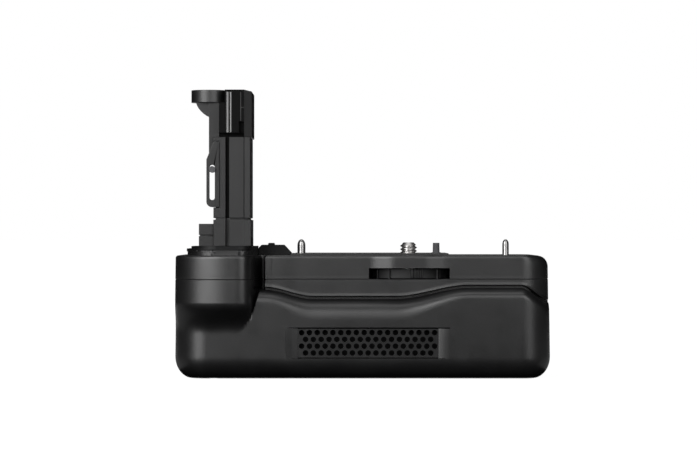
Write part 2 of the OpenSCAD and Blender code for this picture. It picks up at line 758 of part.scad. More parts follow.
module door_latch() {
    color([0.3, 0.3, 0.31]) {
        box([latch_x, latch_y0, latch_z - latch_half], [latch_x + latch_t, latch_y1, latch_z + latch_half]);
        box([latch_x + latch_t - sink, nub_y0, latch_z - nub_half],
            [door_x1 + nub_up, nub_y0 + nub_l, latch_z + nub_half]);
    }
}

// Board above the tray, behind the mounting screw
standoff_r = 2;
board_screw_r = 0.75;
board_head_r = 1.5;
board_head_h = 0.9;
board_bite = 0.9;
board_from_tray = 6;
board_behind = 8;
board_from_mouth = 4;
board_from_back = 1;
board_low = [tray_x + board_from_tray, screw_y + board_behind];
board_high = [mouth_x - board_from_mouth, tray_y1 - board_from_back];
board_in = 3;
function board_holes() = [for (x = [board_low.x + board_in, board_high.x - board_in],
    y = [board_low.y + board_in, board_high.y - board_in]) [x, y]];

module main_board() {
    color([0.05, 0.3, 0.15]) difference() {
        box([board_low.x, board_low.y, board_z], [board_high.x, board_high.y, board_z + board_t]);
        for (p = board_holes()) rod(p.x, p.y, board_z - cut, board_screw_r + fit, board_t + 2 * cut);
    }
}

connector_l = 12;
connector_w = 4.5;
connector_h = 2.8;
connector_from_right = 6;
connector_from_front = 12;
module board_connector() {
    low = [board_high.x - connector_from_right - connector_l, board_low.y + connector_from_front,
        board_z + board_t];
    size = [connector_l, connector_w, connector_h];
    shell = 1;
    color([0.85, 0.83, 0.78]) difference() {
        translate(low) cube(size);
        box(low + [shell, shell, shell], low + size + [-shell, -shell, cut]);
    }
}

module board_screws() {
    color("silver")
        for (p = board_holes()) {
            rod(p.x, p.y, board_z + board_t, board_head_r, board_head_h);
            rod(p.x, p.y, tray_top - board_bite + fit, board_screw_r, board_t + standoff_h + board_bite);
        }
}

// Blower: a round cup with an outlet towards the duct, open at the top, and bosses for its screws
blower_head_r = 1.2;
blower_head_h = 0.7;
blower_screw_r = 0.5;
blower_bite = 4;
blower_boss_r = 1.5;
blower_hole_r = blower_r + blower_screw_r / 2;
blower_holes = [for (a = [35, 160, 325])
    [blower_x + blower_hole_r * cos(a), blower_y + blower_hole_r * sin(a)]];
rotor_y = blower_y + volute_grow;
bearing_tube_r = 2.6;
bearing_r = 2;
bearing_up = 4;
bearing_in = 0.5;
bearing_floor = 0.3;
bearing_z = blower_z + bearing_in;
inlet_share = 0.72;
module blower_housing() {
    color([0.1, 0.1, 0.11]) difference() {
        union() {
            rod(blower_x, blower_y, blower_z, blower_r, cover_z - blower_z);
            box([out_x, outlet_y0, blower_z], [blower_x, outlet_y1, cover_z]);
            for (p = blower_holes) rod(p.x, p.y, blower_z, blower_boss_r, cover_z - blower_z);
        }
        difference() {
            union() {
                rod(blower_x, blower_y, blower_z + blower_base, blower_r - duct_wall, blower_h);
                box([out_x - cut, outlet_y0 + duct_wall, blower_z + blower_base],
                    [blower_x, outlet_y1 - duct_wall, blower_z + blower_h]);
            }
            rod(blower_x, rotor_y, blower_z, bearing_tube_r, blower_base + bearing_up);
        }
        rod(blower_x, rotor_y, bearing_z, bearing_r, blower_h);
        for (p = blower_holes) rod(p.x, p.y, cover_z - blower_bite, blower_screw_r + fit / 2, blower_h);
    }
}

module blower_cover() {
    color([0.14, 0.14, 0.15]) difference() {
        union() {
            rod(blower_x, blower_y, cover_z, blower_r, duct_wall);
            box([out_x, outlet_y0, cover_z], [blower_x, outlet_y1, cover_z + duct_wall]);
            for (p = blower_holes) rod(p.x, p.y, cover_z, blower_boss_r, duct_wall);
        }
        for (p = blower_holes) rod(p.x, p.y, cover_z - cut, blower_screw_r + fit, duct_wall + 2 * cut);
        rod(blower_x, rotor_y, cover_z - cut, rotor_r * inlet_share, duct_wall + 2 * cut);
    }
}

rotor_z = blower_z + blower_base + gap;
rotor_hub_r = 5.5;
shaft_r = 0.75;
rotor_skin = 0.6;
blade_t = 0.6;
blade_l = 5.2;
blade_turn = 35;
blade_place = 0.8;
shaft_z0 = bearing_z + bearing_floor + 2 * fit;
module fan_rotor() {
    h = rotor_plate + blade_h;
    color([0.2, 0.2, 0.22]) translate([blower_x, rotor_y, rotor_z]) {
        difference() {
            union() {
                cylinder(r = rotor_hub_r, h = h);
                cylinder(r = rotor_r, h = rotor_plate);
                for (k = [0:blade_count - 1])
                    rotate(360 * k / blade_count) translate([rotor_r * blade_place, 0, 0]) rotate(blade_turn)
                        translate([-blade_t / 2, -blade_l / 2, 0]) cube([blade_t, blade_l, h]);
            }
            translate([0, 0, -cut]) cylinder(r = rotor_hub_r - rotor_skin, h = h);
        }
        translate([0, 0, shaft_z0 - rotor_z]) cylinder(r = shaft_r, h = h - rotor_skin - shaft_z0 + rotor_z);
    }
}

motor_h = 3;
motor_up = 0.6;
motor_ring = 0.7;
pole_l = 1.6;
pole_w = 1.4;
module fan_motor() {
    z = blower_z + blower_base + motor_up;
    color([0.7, 0.42, 0.2]) difference() {
        union() {
            rod(blower_x, rotor_y, z, bearing_tube_r + motor_ring, motor_h);
            for (k = [0:5])
                translate([blower_x, rotor_y, z]) rotate(60 * k)
                    translate([bearing_tube_r + sink, -pole_w / 2, 0]) cube([pole_l, pole_w, motor_h]);
        }
        rod(blower_x, rotor_y, z - cut, bearing_tube_r + fit / 2, motor_h + 2 * cut);
    }
}

module fan_bearing() {
    color([0.8, 0.65, 0.3]) difference() {
        rod(blower_x, rotor_y, bearing_z, bearing_r - fit / 2, blower_base + bearing_up - 2 * gap);
        rod(blower_x, rotor_y, bearing_z + bearing_floor, shaft_r + run, blower_base + bearing_up);
    }
}

module blower_screws() {
    z = blower_z + blower_h;
    color("silver")
        for (p = blower_holes) {
            rod(p.x, p.y, z, blower_head_r, blower_head_h);
            rod(p.x, p.y, cover_z - blower_bite + fit, blower_screw_r, z - cover_z + blower_bite);
        }
}

module air_duct() {
    low = [duct_x + duct_wall, outlet_y0 + duct_wall, blower_z + blower_base];
    color([0.12, 0.12, 0.13]) difference() {
        box([duct_x, outlet_y0, blower_z], [duct_x + duct_w, outlet_y1, roof_z]);
        box(low, [duct_x + duct_w - duct_wall, outlet_y1 - duct_wall, roof_z + cut]);
        box(low, [duct_x + duct_w + cut, outlet_y1 - duct_wall, cover_z]);
    }
}

// Low hump that blows air up into the camera, with two slots in its top
nozzle_w = 12.1;
nozzle_h = 3.8;
nozzle_wall = 0.8;
nozzle_foot = 0.8;
nozzle_slope = 2.8;
nozzle_bevel = 1;
nozzle_slot = 3.2;
knob_draft = 0.2;
knob_x0 = 3.6;
knob_x1 = 5.5;
knob_h = 0.7;
module air_nozzle() {
    color([0.08, 0.08, 0.08]) difference() {
        union() {
            translate([nozzle_x0, nozzle_y1, body_h]) rotate([90, 0, 0]) linear_extrude(nozzle_y1 - nozzle_y0)
                polygon([[0, 0], [nozzle_w, 0], [nozzle_w, nozzle_foot], [nozzle_w - nozzle_slope, nozzle_h],
                    [knob_x1 + knob_draft, nozzle_h], [knob_x1, nozzle_h + knob_h],
                    [knob_x0, nozzle_h + knob_h], [knob_x0 - knob_draft, nozzle_h],
                    [nozzle_bevel, nozzle_h], [0, nozzle_h - nozzle_bevel]]);
            box([spigot_x0, spigot_y0, roof_z + fit], [spigot_x1, spigot_y1, body_h + sink]);
        }
        box([spigot_x0 + nozzle_wall, spigot_y0 + nozzle_wall, roof_z - cut],
            [spigot_x1 - nozzle_wall, spigot_y1 - nozzle_wall, body_h + nozzle_h - nozzle_wall]);
        for (s = [0, 1]) {
            y = spigot_y0 + nozzle_wall + s * (spigot_y1 - spigot_y0 - nozzle_wall) / 2;
            box([spigot_x0 + nozzle_wall, y, body_h],
                [nozzle_x0 + knob_x0 - 2 * knob_draft, y + nozzle_slot, body_h + nozzle_h + cut]);
        }
    }
}

// Lock wheel: each quarter of its rim has a smooth block, one broad ridge and a group of fine ridges
wheel_groups = 4;
wheel_block_a = 226;
wheel_block_turn = 17;
wheel_ridge_a = 274;
wheel_knurl_a = 278.5;
wheel_knurl_n = 5;
wheel_knurl_step = 2.5;
wheel_knurl_r = 0.28;
wheel_rim_in = 0.7;
wheel_block_d = 2;
wheel_boss = 2;
module lock_wheel() {
    color([0.13, 0.13, 0.14]) difference() {
        union() {
            rod(screw_x, screw_y, wheel_z, wheel_r - wheel_rim_in, wheel_t);
            rod(screw_x, screw_y, bracket_top + gap, hub_r + wheel_boss, wheel_z - bracket_top - gap + sink);
            rod(screw_x, screw_y, bracket_z, hub_r, wheel_z - bracket_z + sink);
            for (k = [0:wheel_groups - 1])
                translate([screw_x, screw_y, wheel_z]) rotate(360 * k / wheel_groups) {
                    rotate(wheel_block_a) rotate_extrude(angle = wheel_block_turn)
                        translate([wheel_r - wheel_block_d, 0]) square([wheel_block_d, wheel_t]);
                    rim_ridge(wheel_ridge_a, 2 * wheel_knurl_r);
                    for (i = [0:wheel_knurl_n - 1])
                        rim_ridge(wheel_knurl_a + wheel_knurl_step * i, wheel_knurl_r);
                }
        }
        rod(screw_x, screw_y, bracket_z - cut, shank_r + fit / 2, wheel_z + wheel_t - bracket_z + 2 * cut);
    }
}

module rim_ridge(a, r) rotate(a) translate([wheel_r - wheel_rim_in, 0, 0]) cylinder(r = r, h = wheel_t);

// Mounting screw: plain shank, retaining flange and a thread drawn as rings
thread_n = floor((screw_up + screw_pitch) / screw_pitch);
thread_depth = 0.7;
thread_land = 0.1;
flange_r = screw_r + 1.2;
flange_t = 1.2;
tip_bevel = 0.5;
module mount_screw() {
    tip = body_h + screw_up;
    root_r = screw_r - thread_depth;
    z0 = tip - tip_bevel - thread_land - thread_n * screw_pitch;
    flange_z = wheel_z + wheel_t + fit;
    color("lightgray") translate([screw_x, screw_y, 0]) rotate_extrude()
        polygon(concat([[0, bracket_z], [shank_r, bracket_z], [shank_r, flange_z], [flange_r, flange_z],
            [flange_r, flange_z + flange_t], [root_r, flange_z + flange_t], [root_r, z0]],
            [for (i = [0:thread_n - 1]) each [[root_r, z0 + i * screw_pitch + thread_land],
                [screw_r, z0 + (i + 0.5) * screw_pitch - thread_land],
                [screw_r, z0 + (i + 0.5) * screw_pitch + thread_land],
                [root_r, z0 + (i + 1) * screw_pitch - thread_land]]],
            [[root_r, tip - tip_bevel], [root_r - tip_bevel, tip], [0, tip]]));
}

module lock_bracket() {
    color([0.6, 0.6, 0.62]) difference() {
        box([screw_x - bracket_half, screw_y - bracket_front, bracket_z],
            [screw_x + bracket_half, screw_y + bracket_back, bracket_top]);
        rod(screw_x, screw_y, bracket_z - cut, hub_r + run, bracket_t + 2 * cut);
        for (p = bracket_posts) rod(p.x, p.y, bracket_z - cut, bracket_hole_r + fit / 2, bracket_t + 2 * cut);
    }
}

module bracket_screws() {
    color("silver")
        for (p = bracket_posts) {
            rod(p.x, p.y, bracket_z - bracket_head_h, bracket_head_r, bracket_head_h);
            rod(p.x, p.y, bracket_z - sink, bracket_hole_r - fit / 2, bracket_t + bracket_bite);
        }
}

// Steel pin with a bullet tip; its thicker foot is pressed into the roof
bullet_tip = 1.6;
module bullet_pin(x, r, up) {
    foot_z = roof_z - pin_in - body_h;
    tip_h = bullet_tip * r;
    straight = up - tip_h;
    color("gainsboro") translate([x, pin_y, body_h]) rotate_extrude()
        polygon(concat([[0, foot_z], [r + pin_foot, foot_z], [r + pin_foot, 0], [r, 0]],
            [for (i = [0:5]) let (a = 15 * i) [r * cos(a), straight + tip_h * sin(a)]],
            [[0, up]]));
}

module locating_pin_left() bullet_pin(screw_x - pin_left_from_screw, pin_left_r, pin_up);
module locating_pin_right() bullet_pin(screw_x + pin_right_from_screw, pin_right_r, pin_up);

index_foot_r = 1.7;
index_low_r = 1.32;
index_tip_r = 1.22;
index_up = 4.55;
module index_pin() {
    color([0.3, 0.3, 0.33]) translate([screw_x + index_from_screw, screw_y, body_h]) {
        cylinder(r = index_foot_r, h = pad_t + gap);
        cylinder(r1 = index_low_r, r2 = index_tip_r, h = index_up);
    }
}

bush_r = 5.5;
bush_bore_r = 3.175;
module tripod_bush() {
    color([0.72, 0.72, 0.74]) difference() {
        rod(screw_x, screw_y, 0, bush_r, bush_l);
        rod(screw_x, screw_y, -cut, bush_bore_r, bush_l + 2 * cut);
    }
}

module housing_screws() {
    color([0.2, 0.2, 0.2])
        for (p = posts) {
            rod(p.x, p.y, screw_head_in, screw_head_r, screw_head_h);
            rod(p.x, p.y, screw_head_h, post_hole_r - 2 * fit, part_z + screw_bite - screw_head_h);
        }
}

// Heights of the tower's parts and the division of its column
base_z = body_h + collar_h;
base_top = body_h + base_h;
tower_top = body_h + tower_h;
head_z = tower_top - head_h;
left_shell_w = 4.45;
spine_x0 = tower_x0 + left_shell_w;
spine_x1 = spine_x0 + spine_t;
spine_in = 2;
inner_in = 4;
chamfer = 2.45;
chamfer_d = 1.2;
shell_wall = 1.2;
shell_in = 0.2;
shell_back = 0.7;
joint_h = 0.6;
joint_in = 0.8;
shell_z = base_top + joint_h;

collar_left = 10.05;
collar_short = 0.55;
collar_right = 2.4;
collar_lap = 4;
collar_step = 1.7;
collar_rim = 0.3;
collar_r = 11;
collar_small_r = 4;
collar_rim_z = body_h + 0.42 * collar_h;
collar_ring_z = body_h + 0.74 * collar_h;

// Plate with a large rounded corner at its front left and small ones elsewhere
module collar_plate(low, high, large, small) {
    box([low.x, low.y + large, low.z], [high.x, high.y - small, high.z]);
    box([low.x + large, low.y, low.z], [high.x - small, low.y + large, high.z]);
    box([high.x - small, low.y + small, low.z], [high.x, low.y + large, high.z]);
    box([low.x + small, high.y - small, low.z], [high.x - small, high.y, high.z]);
    rod(low.x + large, low.y + large, low.z, large, high.z - low.z);
    rod(high.x - small, low.y + small, low.z, small, high.z - low.z);
    for (x = [low.x + small, high.x - small]) rod(x, high.y - small, low.z, small, high.z - low.z);
}

// Collar: a foot, a rim that stands out a little and a narrower ring on top
module tower_collar() {
    low = [tower_x0 - collar_left, tower_y0 - collar_lap];
    high = [tower_x1 - collar_short, tower_y1 + collar_lap];
    color([0.06, 0.06, 0.06]) difference() {
        union() {
            collar_plate([low.x + collar_rim, low.y + collar_rim, body_h],
                [high.x, high.y - collar_rim, collar_rim_z + sink], collar_r - collar_rim, collar_small_r);
            collar_plate([low.x, low.y, collar_rim_z], [high.x, high.y, collar_ring_z],
                collar_r, collar_small_r);
            collar_plate([low.x + collar_step, low.y + collar_step, collar_ring_z - sink],
                [high.x, high.y - collar_step, base_z], collar_r - collar_step, collar_small_r);
            box([high.x - collar_step, valley_y + collar_step, body_h],
                [high.x + collar_right, tower_y1 + collar_step, base_z]);
        }
        box([root_low.x - fit, root_low.y - fit, body_h - cut],
            [root_high.x + fit, root_high.y + fit, base_z + cut]);
    }
}

// Tower outline seen from above, with flat chamfers of width c on the right
module tower_plan(x0, x1, c, inset = 0) {
    y0 = tower_y0 + inset;
    y1 = tower_y1 - inset;
    polygon([[x0 + inset, y0], [x1 - inset - c, y0], [x1 - inset, y0 + chamfer_d],
        [x1 - inset, y1 - chamfer_d], [x1 - inset - c, y1], [x0 + inset, y1]]);
}

flange_up = 2;
flange_left = 5;
flange_front_y = column_y + post_behind + post_r + gap;
module tower_base() {
    flange_z = roof_z - flange_up;
    color([0.2, 0.2, 0.21]) difference() {
        union() {
            translate([0, 0, base_z]) linear_extrude(base_top - base_z)
                tower_plan(tower_x0, tower_x1, chamfer);
            translate([0, 0, base_top - sink]) linear_extrude(joint_h + sink)
                tower_plan(tower_x0, tower_x1, chamfer, joint_in);
            box([root_low.x, root_low.y, flange_z], [root_high.x, root_high.y, base_z + sink]);
            box([root_low.x - flange_left, flange_front_y, flange_z],
                [root_high.x + gap, tower_y1, roof_z - fit]);
        }
        box([spine_x0, tower_y0 - cut, base_z - cut], [spine_x1, tower_y0 + spine_in, shell_z + cut]);
        box([spine_x1 + shell_wall, tower_y0 + inner_in, flange_z - cut],
            [tower_x1 - chamfer - shell_wall, tower_y1 - inner_in, shell_z + cut]);
    }
}

side_w = 5.4;
side_d = 18;
side_h = 8.2;
side_in = 2;
side_line = 0.4;
module tower_side_block() {
    low = [tower_x0 - side_w, tower_y0 + side_in, base_z];
    high = [tower_x0 - fit, low.y + side_d, base_z + side_h];
    line_z = base_z + side_h / 2;
    color([0.22, 0.22, 0.23]) difference() {
        box(low, high);
        box([low.x - cut, low.y - cut, line_z - side_line], [low.x + side_line, high.y + cut, line_z]);
        box([low.x - cut, low.y - cut, line_z - side_line], [high.x + cut, low.y + side_line, line_z]);
    }
}

// Ear outline and its slot, seen from the front
ear_out = 2.55;
ear_lap = 2.1;
ear_below = 2.6;
ear_above = 8.6;
ear_slant_w = 2.7;
ear_slant_h = 6.6;
slot_in = 2.1;
slot_from_top = 27.6;
ear_x0 = tower_x0 - ear_out;
ear_x1 = tower_x0 + ear_lap;
ear_t = 2;
ear_r = 2;
slot_x = ear_x0 + slot_in;
slot_z1 = tower_top - slot_from_top;
slot_z0 = slot_z1 - slot_l;
ear_z0 = slot_z0 - ear_below;
ear_z1 = slot_z1 + ear_above;
notch_x = slot_x + slot_w / 2 + 1.5 * fit;
module slotted_ear() {
    corner = [for (i = [0:6]) let (a = 180 + 15 * i) [ear_x0, ear_z0] + ear_r * [1 + cos(a), 1 + sin(a)]];
    color([0.24, 0.24, 0.25]) translate([0, tower_y0 + ear_t, 0]) rotate([90, 0, 0])
        linear_extrude(ear_t) difference() {
            polygon(concat(corner, [[ear_x1, ear_z0], [ear_x1, ear_z1], [ear_x0 + ear_slant_w, ear_z1],
                [ear_x0, ear_z1 - ear_slant_h]]));
            translate([slot_x - slot_w / 2, slot_z0 + slot_w / 2]) square([slot_w, slot_l - slot_w]);
            for (z = [slot_z0 + slot_w / 2, slot_z1 - slot_w / 2])
                translate([slot_x, z]) circle(r = slot_w / 2);
        }
}

slot_head_r = 1.2;
slot_head_h = 0.6;
module slot_pin() {
    z = slot_z1 - slot_w / 2 - 2 * gap;
    color([0.5, 0.5, 0.52]) translate([slot_x, tower_y0, z]) rotate([-90, 0, 0]) {
        translate([0, 0, -gap - slot_head_h]) cylinder(r = slot_head_r, h = slot_head_h);
        translate([0, 0, -gap - sink]) cylinder(r = slot_w / 2 - run, h = ear_t + 2 * (gap + sink));
        translate([0, 0, ear_t + gap]) cylinder(r = slot_head_r, h = slot_head_h);
    }
}

module tower_left_shell() {
    back = tower_y0 + ear_t + 2 * gap + 2 * slot_head_h;
    color([0.21, 0.21, 0.22]) difference() {
        box([tower_x0, tower_y0 + shell_back, shell_z], [spine_x0, tower_y1, head_z]);
        box([tower_x0 - cut, tower_y0 - cut, ear_z0 - fit], [ear_x1 + fit, back, ear_z1 + fit]);
        box([tower_x0 - cut, tower_y0 - cut, ear_z0 - fit], [notch_x, tower_y1 + cut, ear_z1 + fit]);
        box([notch_x + shell_wall / 2, back + shell_wall, shell_z + shell_wall],
            [spine_x0 + cut, tower_y1 - shell_wall, head_z - shell_wall]);
    }
}

module tower_right_shell() {
    color([0.21, 0.21, 0.22]) difference() {
        translate([0, 0, shell_z]) linear_extrude(head_z - shell_z)
            tower_plan(spine_x1, tower_x1 - shell_in, chamfer);
        box([spine_x1 - cut, tower_y0 + inner_in, shell_z + shell_wall],
            [tower_x1 - chamfer - shell_wall / 2, tower_y1 - inner_in, head_z - shell_wall]);
    }
}

module tower_spine() {
    color([0.04, 0.04, 0.04])
        box([spine_x0, tower_y0 + spine_in, shell_z], [spine_x1, tower_y1 - spine_in, head_z]);
}

// Head of the tower: chamfered block with two ribs, a dark slot below and slots for the contacts
head_in = 2.1;
head_out = 0.35;
head_x0 = tower_x0 + head_in;
head_x1 = tower_x1 + head_out;
flat_x1 = tower_x1 - chamfer;
rib_half = 0.2;
rib_out = 0.35;
rib_xs = [head_x0 + 2.75, head_x0 + 4.05];
foot_slot_h = 1.6;
foot_slot_d = 4;
recess_w = 1.9;
recess_h = 5.8;
head_slope = 13;
pad_pitch = 2.5;
pad_half = 0.25;
pad_l = 6;
pad_in = 9;
pad_y0 = tower_y0 + pad_in;
pad_deep = 7;
pad_xs = [for (i = [0:3]) head_x0 + pad_pitch * (i + 1)];
module tower_head() {
    color([0.1, 0.1, 0.1]) difference() {
        union() {
            translate([0, 0, head_z]) linear_extrude(head_h) tower_plan(head_x0, head_x1, head_x1 - flat_x1);
            for (x = rib_xs)
                box([x - rib_half, tower_y0 - rib_out, head_z + foot_slot_h + sink],
                    [x + rib_half, tower_y0 + sink, tower_top - 1]);
        }
        box([head_x0 - cut, tower_y0 - cut, head_z - cut],
            [flat_x1, tower_y0 + foot_slot_d, head_z + foot_slot_h]);
        box([flat_x1 - recess_w, tower_y0 - cut, head_z - cut],
            [flat_x1, tower_y0 + foot_slot_d / 2, head_z + recess_h]);
        translate([flat_x1, tower_y0 - cut, tower_top]) rotate([0, head_slope, 0])
            cube([2 * (head_x1 - flat_x1), tower_d + 2 * cut, head_x1 - flat_x1]);
        for (x = pad_xs)
            box([x - pad_half - sink, pad_y0 - cut, tower_top - pad_deep],
                [x + pad_half + sink, pad_y0 + pad_l + cut, tower_top + cut]);
    }
}

module tower_contacts() {
    color([0.85, 0.7, 0.35])
        for (x = pad_xs)
            box([x - pad_half, pad_y0, tower_top - pad_deep], [x + pad_half, pad_y0 + pad_l, tower_top - 1]);
}

// Round disc beside the head on its neck, with a bowl under it
neck_out = 1.75;
neck_half = 5;
neck_drop = 0.6;
disc_out = 1.95;
disc_in = 8;
bowl_r = 4.4;
bowl_h = 4.8;
neck_over_slot = 1.4;
neck_x0 = tower_x0 - neck_out;
neck_z0 = slot_z1 + neck_over_slot;
disc_x = tower_x0 - disc_out;
disc_y = tower_y0 + disc_in;
module head_disc() {
    disc_z = tower_top - disc_t;
    y0 = disc_y - neck_half;
    y1 = disc_y + neck_half;
    color([0.16, 0.16, 0.17]) difference() {
        union() {
            rod(disc_x, disc_y, disc_z, disc_r, disc_t);
            box([neck_x0, y0, head_z], [head_x0 - fit, y1, tower_top - neck_drop]);
            box([neck_x0, y0, neck_z0], [tower_x0 - fit, y1, head_z + sink]);
            translate([disc_x, disc_y, disc_z + sink]) rotate_extrude()
                polygon(concat([[0, 0]], [for (i = [0:6]) let (a = 15 * i)
                    [bowl_r * cos(a), -bowl_h * sin(a)]]));
        }
        box([head_x0 - fit, disc_y - disc_r, disc_z - bowl_h], [head_x1, disc_y + disc_r, tower_top + cut]);
    }
}

lower_housing();
upper_housing();
top_pad();
front_grille();
dust_filter();
battery_tray();
terminal_block();
battery_contacts();
battery_catch();
catch_pin();
catch_spring();
battery_door();
door_hinge_pin();
door_latch();
main_board();
board_connector();
board_screws();
blower_housing();
blower_cover();
fan_rotor();
fan_motor();
fan_bearing();
blower_screws();
air_duct();
air_nozzle();
lock_wheel();
mount_screw();
lock_bracket();
bracket_screws();
locating_pin_left();
locating_pin_right();
index_pin();
tripod_bush();
housing_screws();
tower_collar();
tower_base();
tower_side_block();
tower_left_shell();
tower_right_shell();
tower_spine();
tower_head();
head_disc();
slotted_ear();
slot_pin();
tower_contacts();
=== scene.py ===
# Camera battery grip with a cooling fan: its looks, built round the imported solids.
# Sizes are in millimetres until a mesh is made. X runs to the right seen from the front, -Y is the front.
import json
import math

import bmesh
import bpy
import numpy as np
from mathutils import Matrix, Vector


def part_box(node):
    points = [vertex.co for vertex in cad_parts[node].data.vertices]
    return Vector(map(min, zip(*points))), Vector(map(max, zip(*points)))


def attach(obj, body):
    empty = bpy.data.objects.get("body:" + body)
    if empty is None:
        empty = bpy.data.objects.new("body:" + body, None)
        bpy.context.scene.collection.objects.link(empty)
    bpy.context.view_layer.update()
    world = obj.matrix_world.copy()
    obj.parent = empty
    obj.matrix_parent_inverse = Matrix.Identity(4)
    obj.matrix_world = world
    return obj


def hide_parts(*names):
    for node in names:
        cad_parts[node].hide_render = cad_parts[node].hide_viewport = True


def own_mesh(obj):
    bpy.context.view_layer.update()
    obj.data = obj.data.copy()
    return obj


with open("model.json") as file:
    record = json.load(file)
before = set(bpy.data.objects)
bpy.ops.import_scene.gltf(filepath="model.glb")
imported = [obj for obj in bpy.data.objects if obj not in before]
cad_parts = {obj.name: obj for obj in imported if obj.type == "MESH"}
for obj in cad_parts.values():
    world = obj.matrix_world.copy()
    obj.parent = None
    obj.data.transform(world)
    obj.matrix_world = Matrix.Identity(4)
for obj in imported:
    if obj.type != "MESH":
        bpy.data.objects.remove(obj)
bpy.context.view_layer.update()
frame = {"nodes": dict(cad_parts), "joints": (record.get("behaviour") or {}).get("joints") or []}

MM = 0.001
nodes = frame["nodes"]
joints = {joint["name"]: joint for joint in frame["joints"]}


def node_box(name):
    low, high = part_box(name)
    return low / MM, high / MM


# Places taken from the frame
body_low, body_high = node_box("lower_housing")
left_x, right_x = body_low.x, body_high.x
front_y, rear_y = body_low.y, body_high.y
part_z = body_high.z
body_h = node_box("upper_housing")[1].z
screw_x, screw_y = [c / MM for c in joints["lock_wheel_turn"]["pos_m"][:2]]

# Sizes of the body's form, close to those of the solids
WALL = 2.4
BULGE_R = 14.5
BULGE_D = 12.0
BULGE_SQUARE = 3.2
LOW_BACK = 7.0
WALL_BACK = 13.0
VALLEY_BACK = 21.0
GROOVE_D = 2.2
VALLEY_W = 4.1
VALLEY_SOFT = 2.4
VALLEY_EDGE = 0.8
VALLEY_H = 12.0
VALLEY_CLIMB = 3.2
VALLEY_END_H = 4.7
VALLEY_FLOOR_SOFT = 1.6
BOTTOM_ROUND_H = 8.0
BOTTOM_ROUND_D = 6.5
RIGHT_R = 11.0
REAR_R = 10.0
END_DRAFT = 0.5
TOP_ROUND = 1.0
RIGHT_TOP_ROUND = 4.2
LIP_DROP = 6.1
LIP_LEFT_RISE = 3.4
LIP_RIGHT_RISE = 4.1
LIP_END_DROP = 5.5
LIP_ROUND = 0.4
LIP_BEAD = 0.3
LIP_BEAD_H = 1.2
LIP_LEFT_RUN = 22.0
LIP_RIGHT_FROM_SCREW = 5.0
LIP_RIGHT_RUN = 27.0
SHOULDER_DROP = 1.2
SHOULDER_LEFT = 5.0
SHOULDER_MID = 8.0
SHOULDER_RIGHT = 4.0
SHOULDER_SOFT = 2.6
BULGE_FOOT_DROP = 20.1
BULGE_FOOT_H = 11.3
BULGE_FOOT_BIAS = 1.35
CREST_IN = 7.3
CREST_FLAT = 1.5
LEFT_R = 12.0
STRIP_W = 2.3
STRIP_START = 0.95
STRIP_OUT = 1.0
STRIP_RUN = 10.0
HOOD_OUT = 1.8
HOOD_HALF = 13.3
HOOD_RAMP = 7.0
HOOD_SOFT = 3.5
SEAM = 0.2

grip_x = left_x + 2 * BULGE_R
crest_x = grip_x - CREST_IN
column_y = front_y + BULGE_D
low_y = front_y + LOW_BACK
wall_y = front_y + WALL_BACK
valley_y = front_y + VALLEY_BACK
corner_x = right_x - RIGHT_R
valley_x = grip_x + VALLEY_W
valley_start = grip_x - VALLEY_SOFT
valley_end = valley_x + VALLEY_EDGE / 2
strip_x = valley_end + STRIP_W


# Form of the body

def ease(a, b, v):
    u = np.clip((v - a) / (b - a), 0, 1)
    return u * u * (3 - 2 * u)


def soft_ramp(v, run, soft):
    """Straight rise from 0 to 1 over a run, with its two corners rounded over a soft stretch."""
    def area(s):
        s = np.maximum(s, 0)
        return np.where(s < run, s * s / (2 * run), s - run / 2)
    return (area(v + soft / 2) - area(v - soft / 2)) / soft


def round_in(u):
    return 1 - np.sqrt(1 - np.clip(u, 0, 1) ** 2)


def left_part(x):
    return ease(valley_x, grip_x + LIP_LEFT_RUN, x)


def right_part(x):
    start = screw_x - LIP_RIGHT_FROM_SCREW
    return ease(start, start + LIP_RIGHT_RUN, x)


def lip_z(x):
    rise = LIP_LEFT_RISE * (1 - left_part(x)) + LIP_RIGHT_RISE * right_part(x)
    return part_z - LIP_DROP + rise - LIP_END_DROP * ease(corner_x, right_x, x)


def shoulder_h(x):
    rise = (SHOULDER_MID - SHOULDER_LEFT) * left_part(x) - (SHOULDER_MID - SHOULDER_RIGHT) * right_part(x)
    return SHOULDER_LEFT + rise


def shoulder_top(x):
    return lip_z(x) - SHOULDER_DROP


def edge_z(x):
    return shoulder_top(x) - shoulder_h(x)


def edge_in(z):
    low = BOTTOM_ROUND_D * round_in((BOTTOM_ROUND_H - z) / BOTTOM_ROUND_H)
    return low + TOP_ROUND * round_in((z - body_h + TOP_ROUND) / TOP_ROUND)


def end_in(z):
    return END_DRAFT * np.maximum(0, z - BOTTOM_ROUND_H) / (body_h - BOTTOM_ROUND_H)


def right_in(z):
    return end_in(z) + RIGHT_TOP_ROUND * round_in((z - body_h + RIGHT_TOP_ROUND) / RIGHT_TOP_ROUND)


def bulge_in(z):
    u = np.clip((z - part_z + BULGE_FOOT_DROP) / BULGE_FOOT_H, 0, 1)
    return LOW_BACK * (1 - ease(0, 1, u ** BULGE_FOOT_BIAS))


def left_run(z):
    return LEFT_R + (crest_x - CREST_FLAT - left_x - LEFT_R) * (1 - bulge_in(z) / LOW_BACK)


def valley_part(x, z, t):
    floor_z = part_z - np.maximum(VALLEY_END_H, VALLEY_H - VALLEY_CLIMB * (x - grip_x))
    left = ease(grip_x - VALLEY_SOFT / 2 - t, valley_x - VALLEY_EDGE - t, x)
    right = 1 - ease(valley_x - VALLEY_EDGE / 2 + t, valley_x + VALLEY_EDGE / 2 + t, x)
    return left * right * ease(floor_z - t, floor_z + VALLEY_FLOOR_SOFT - t, z)


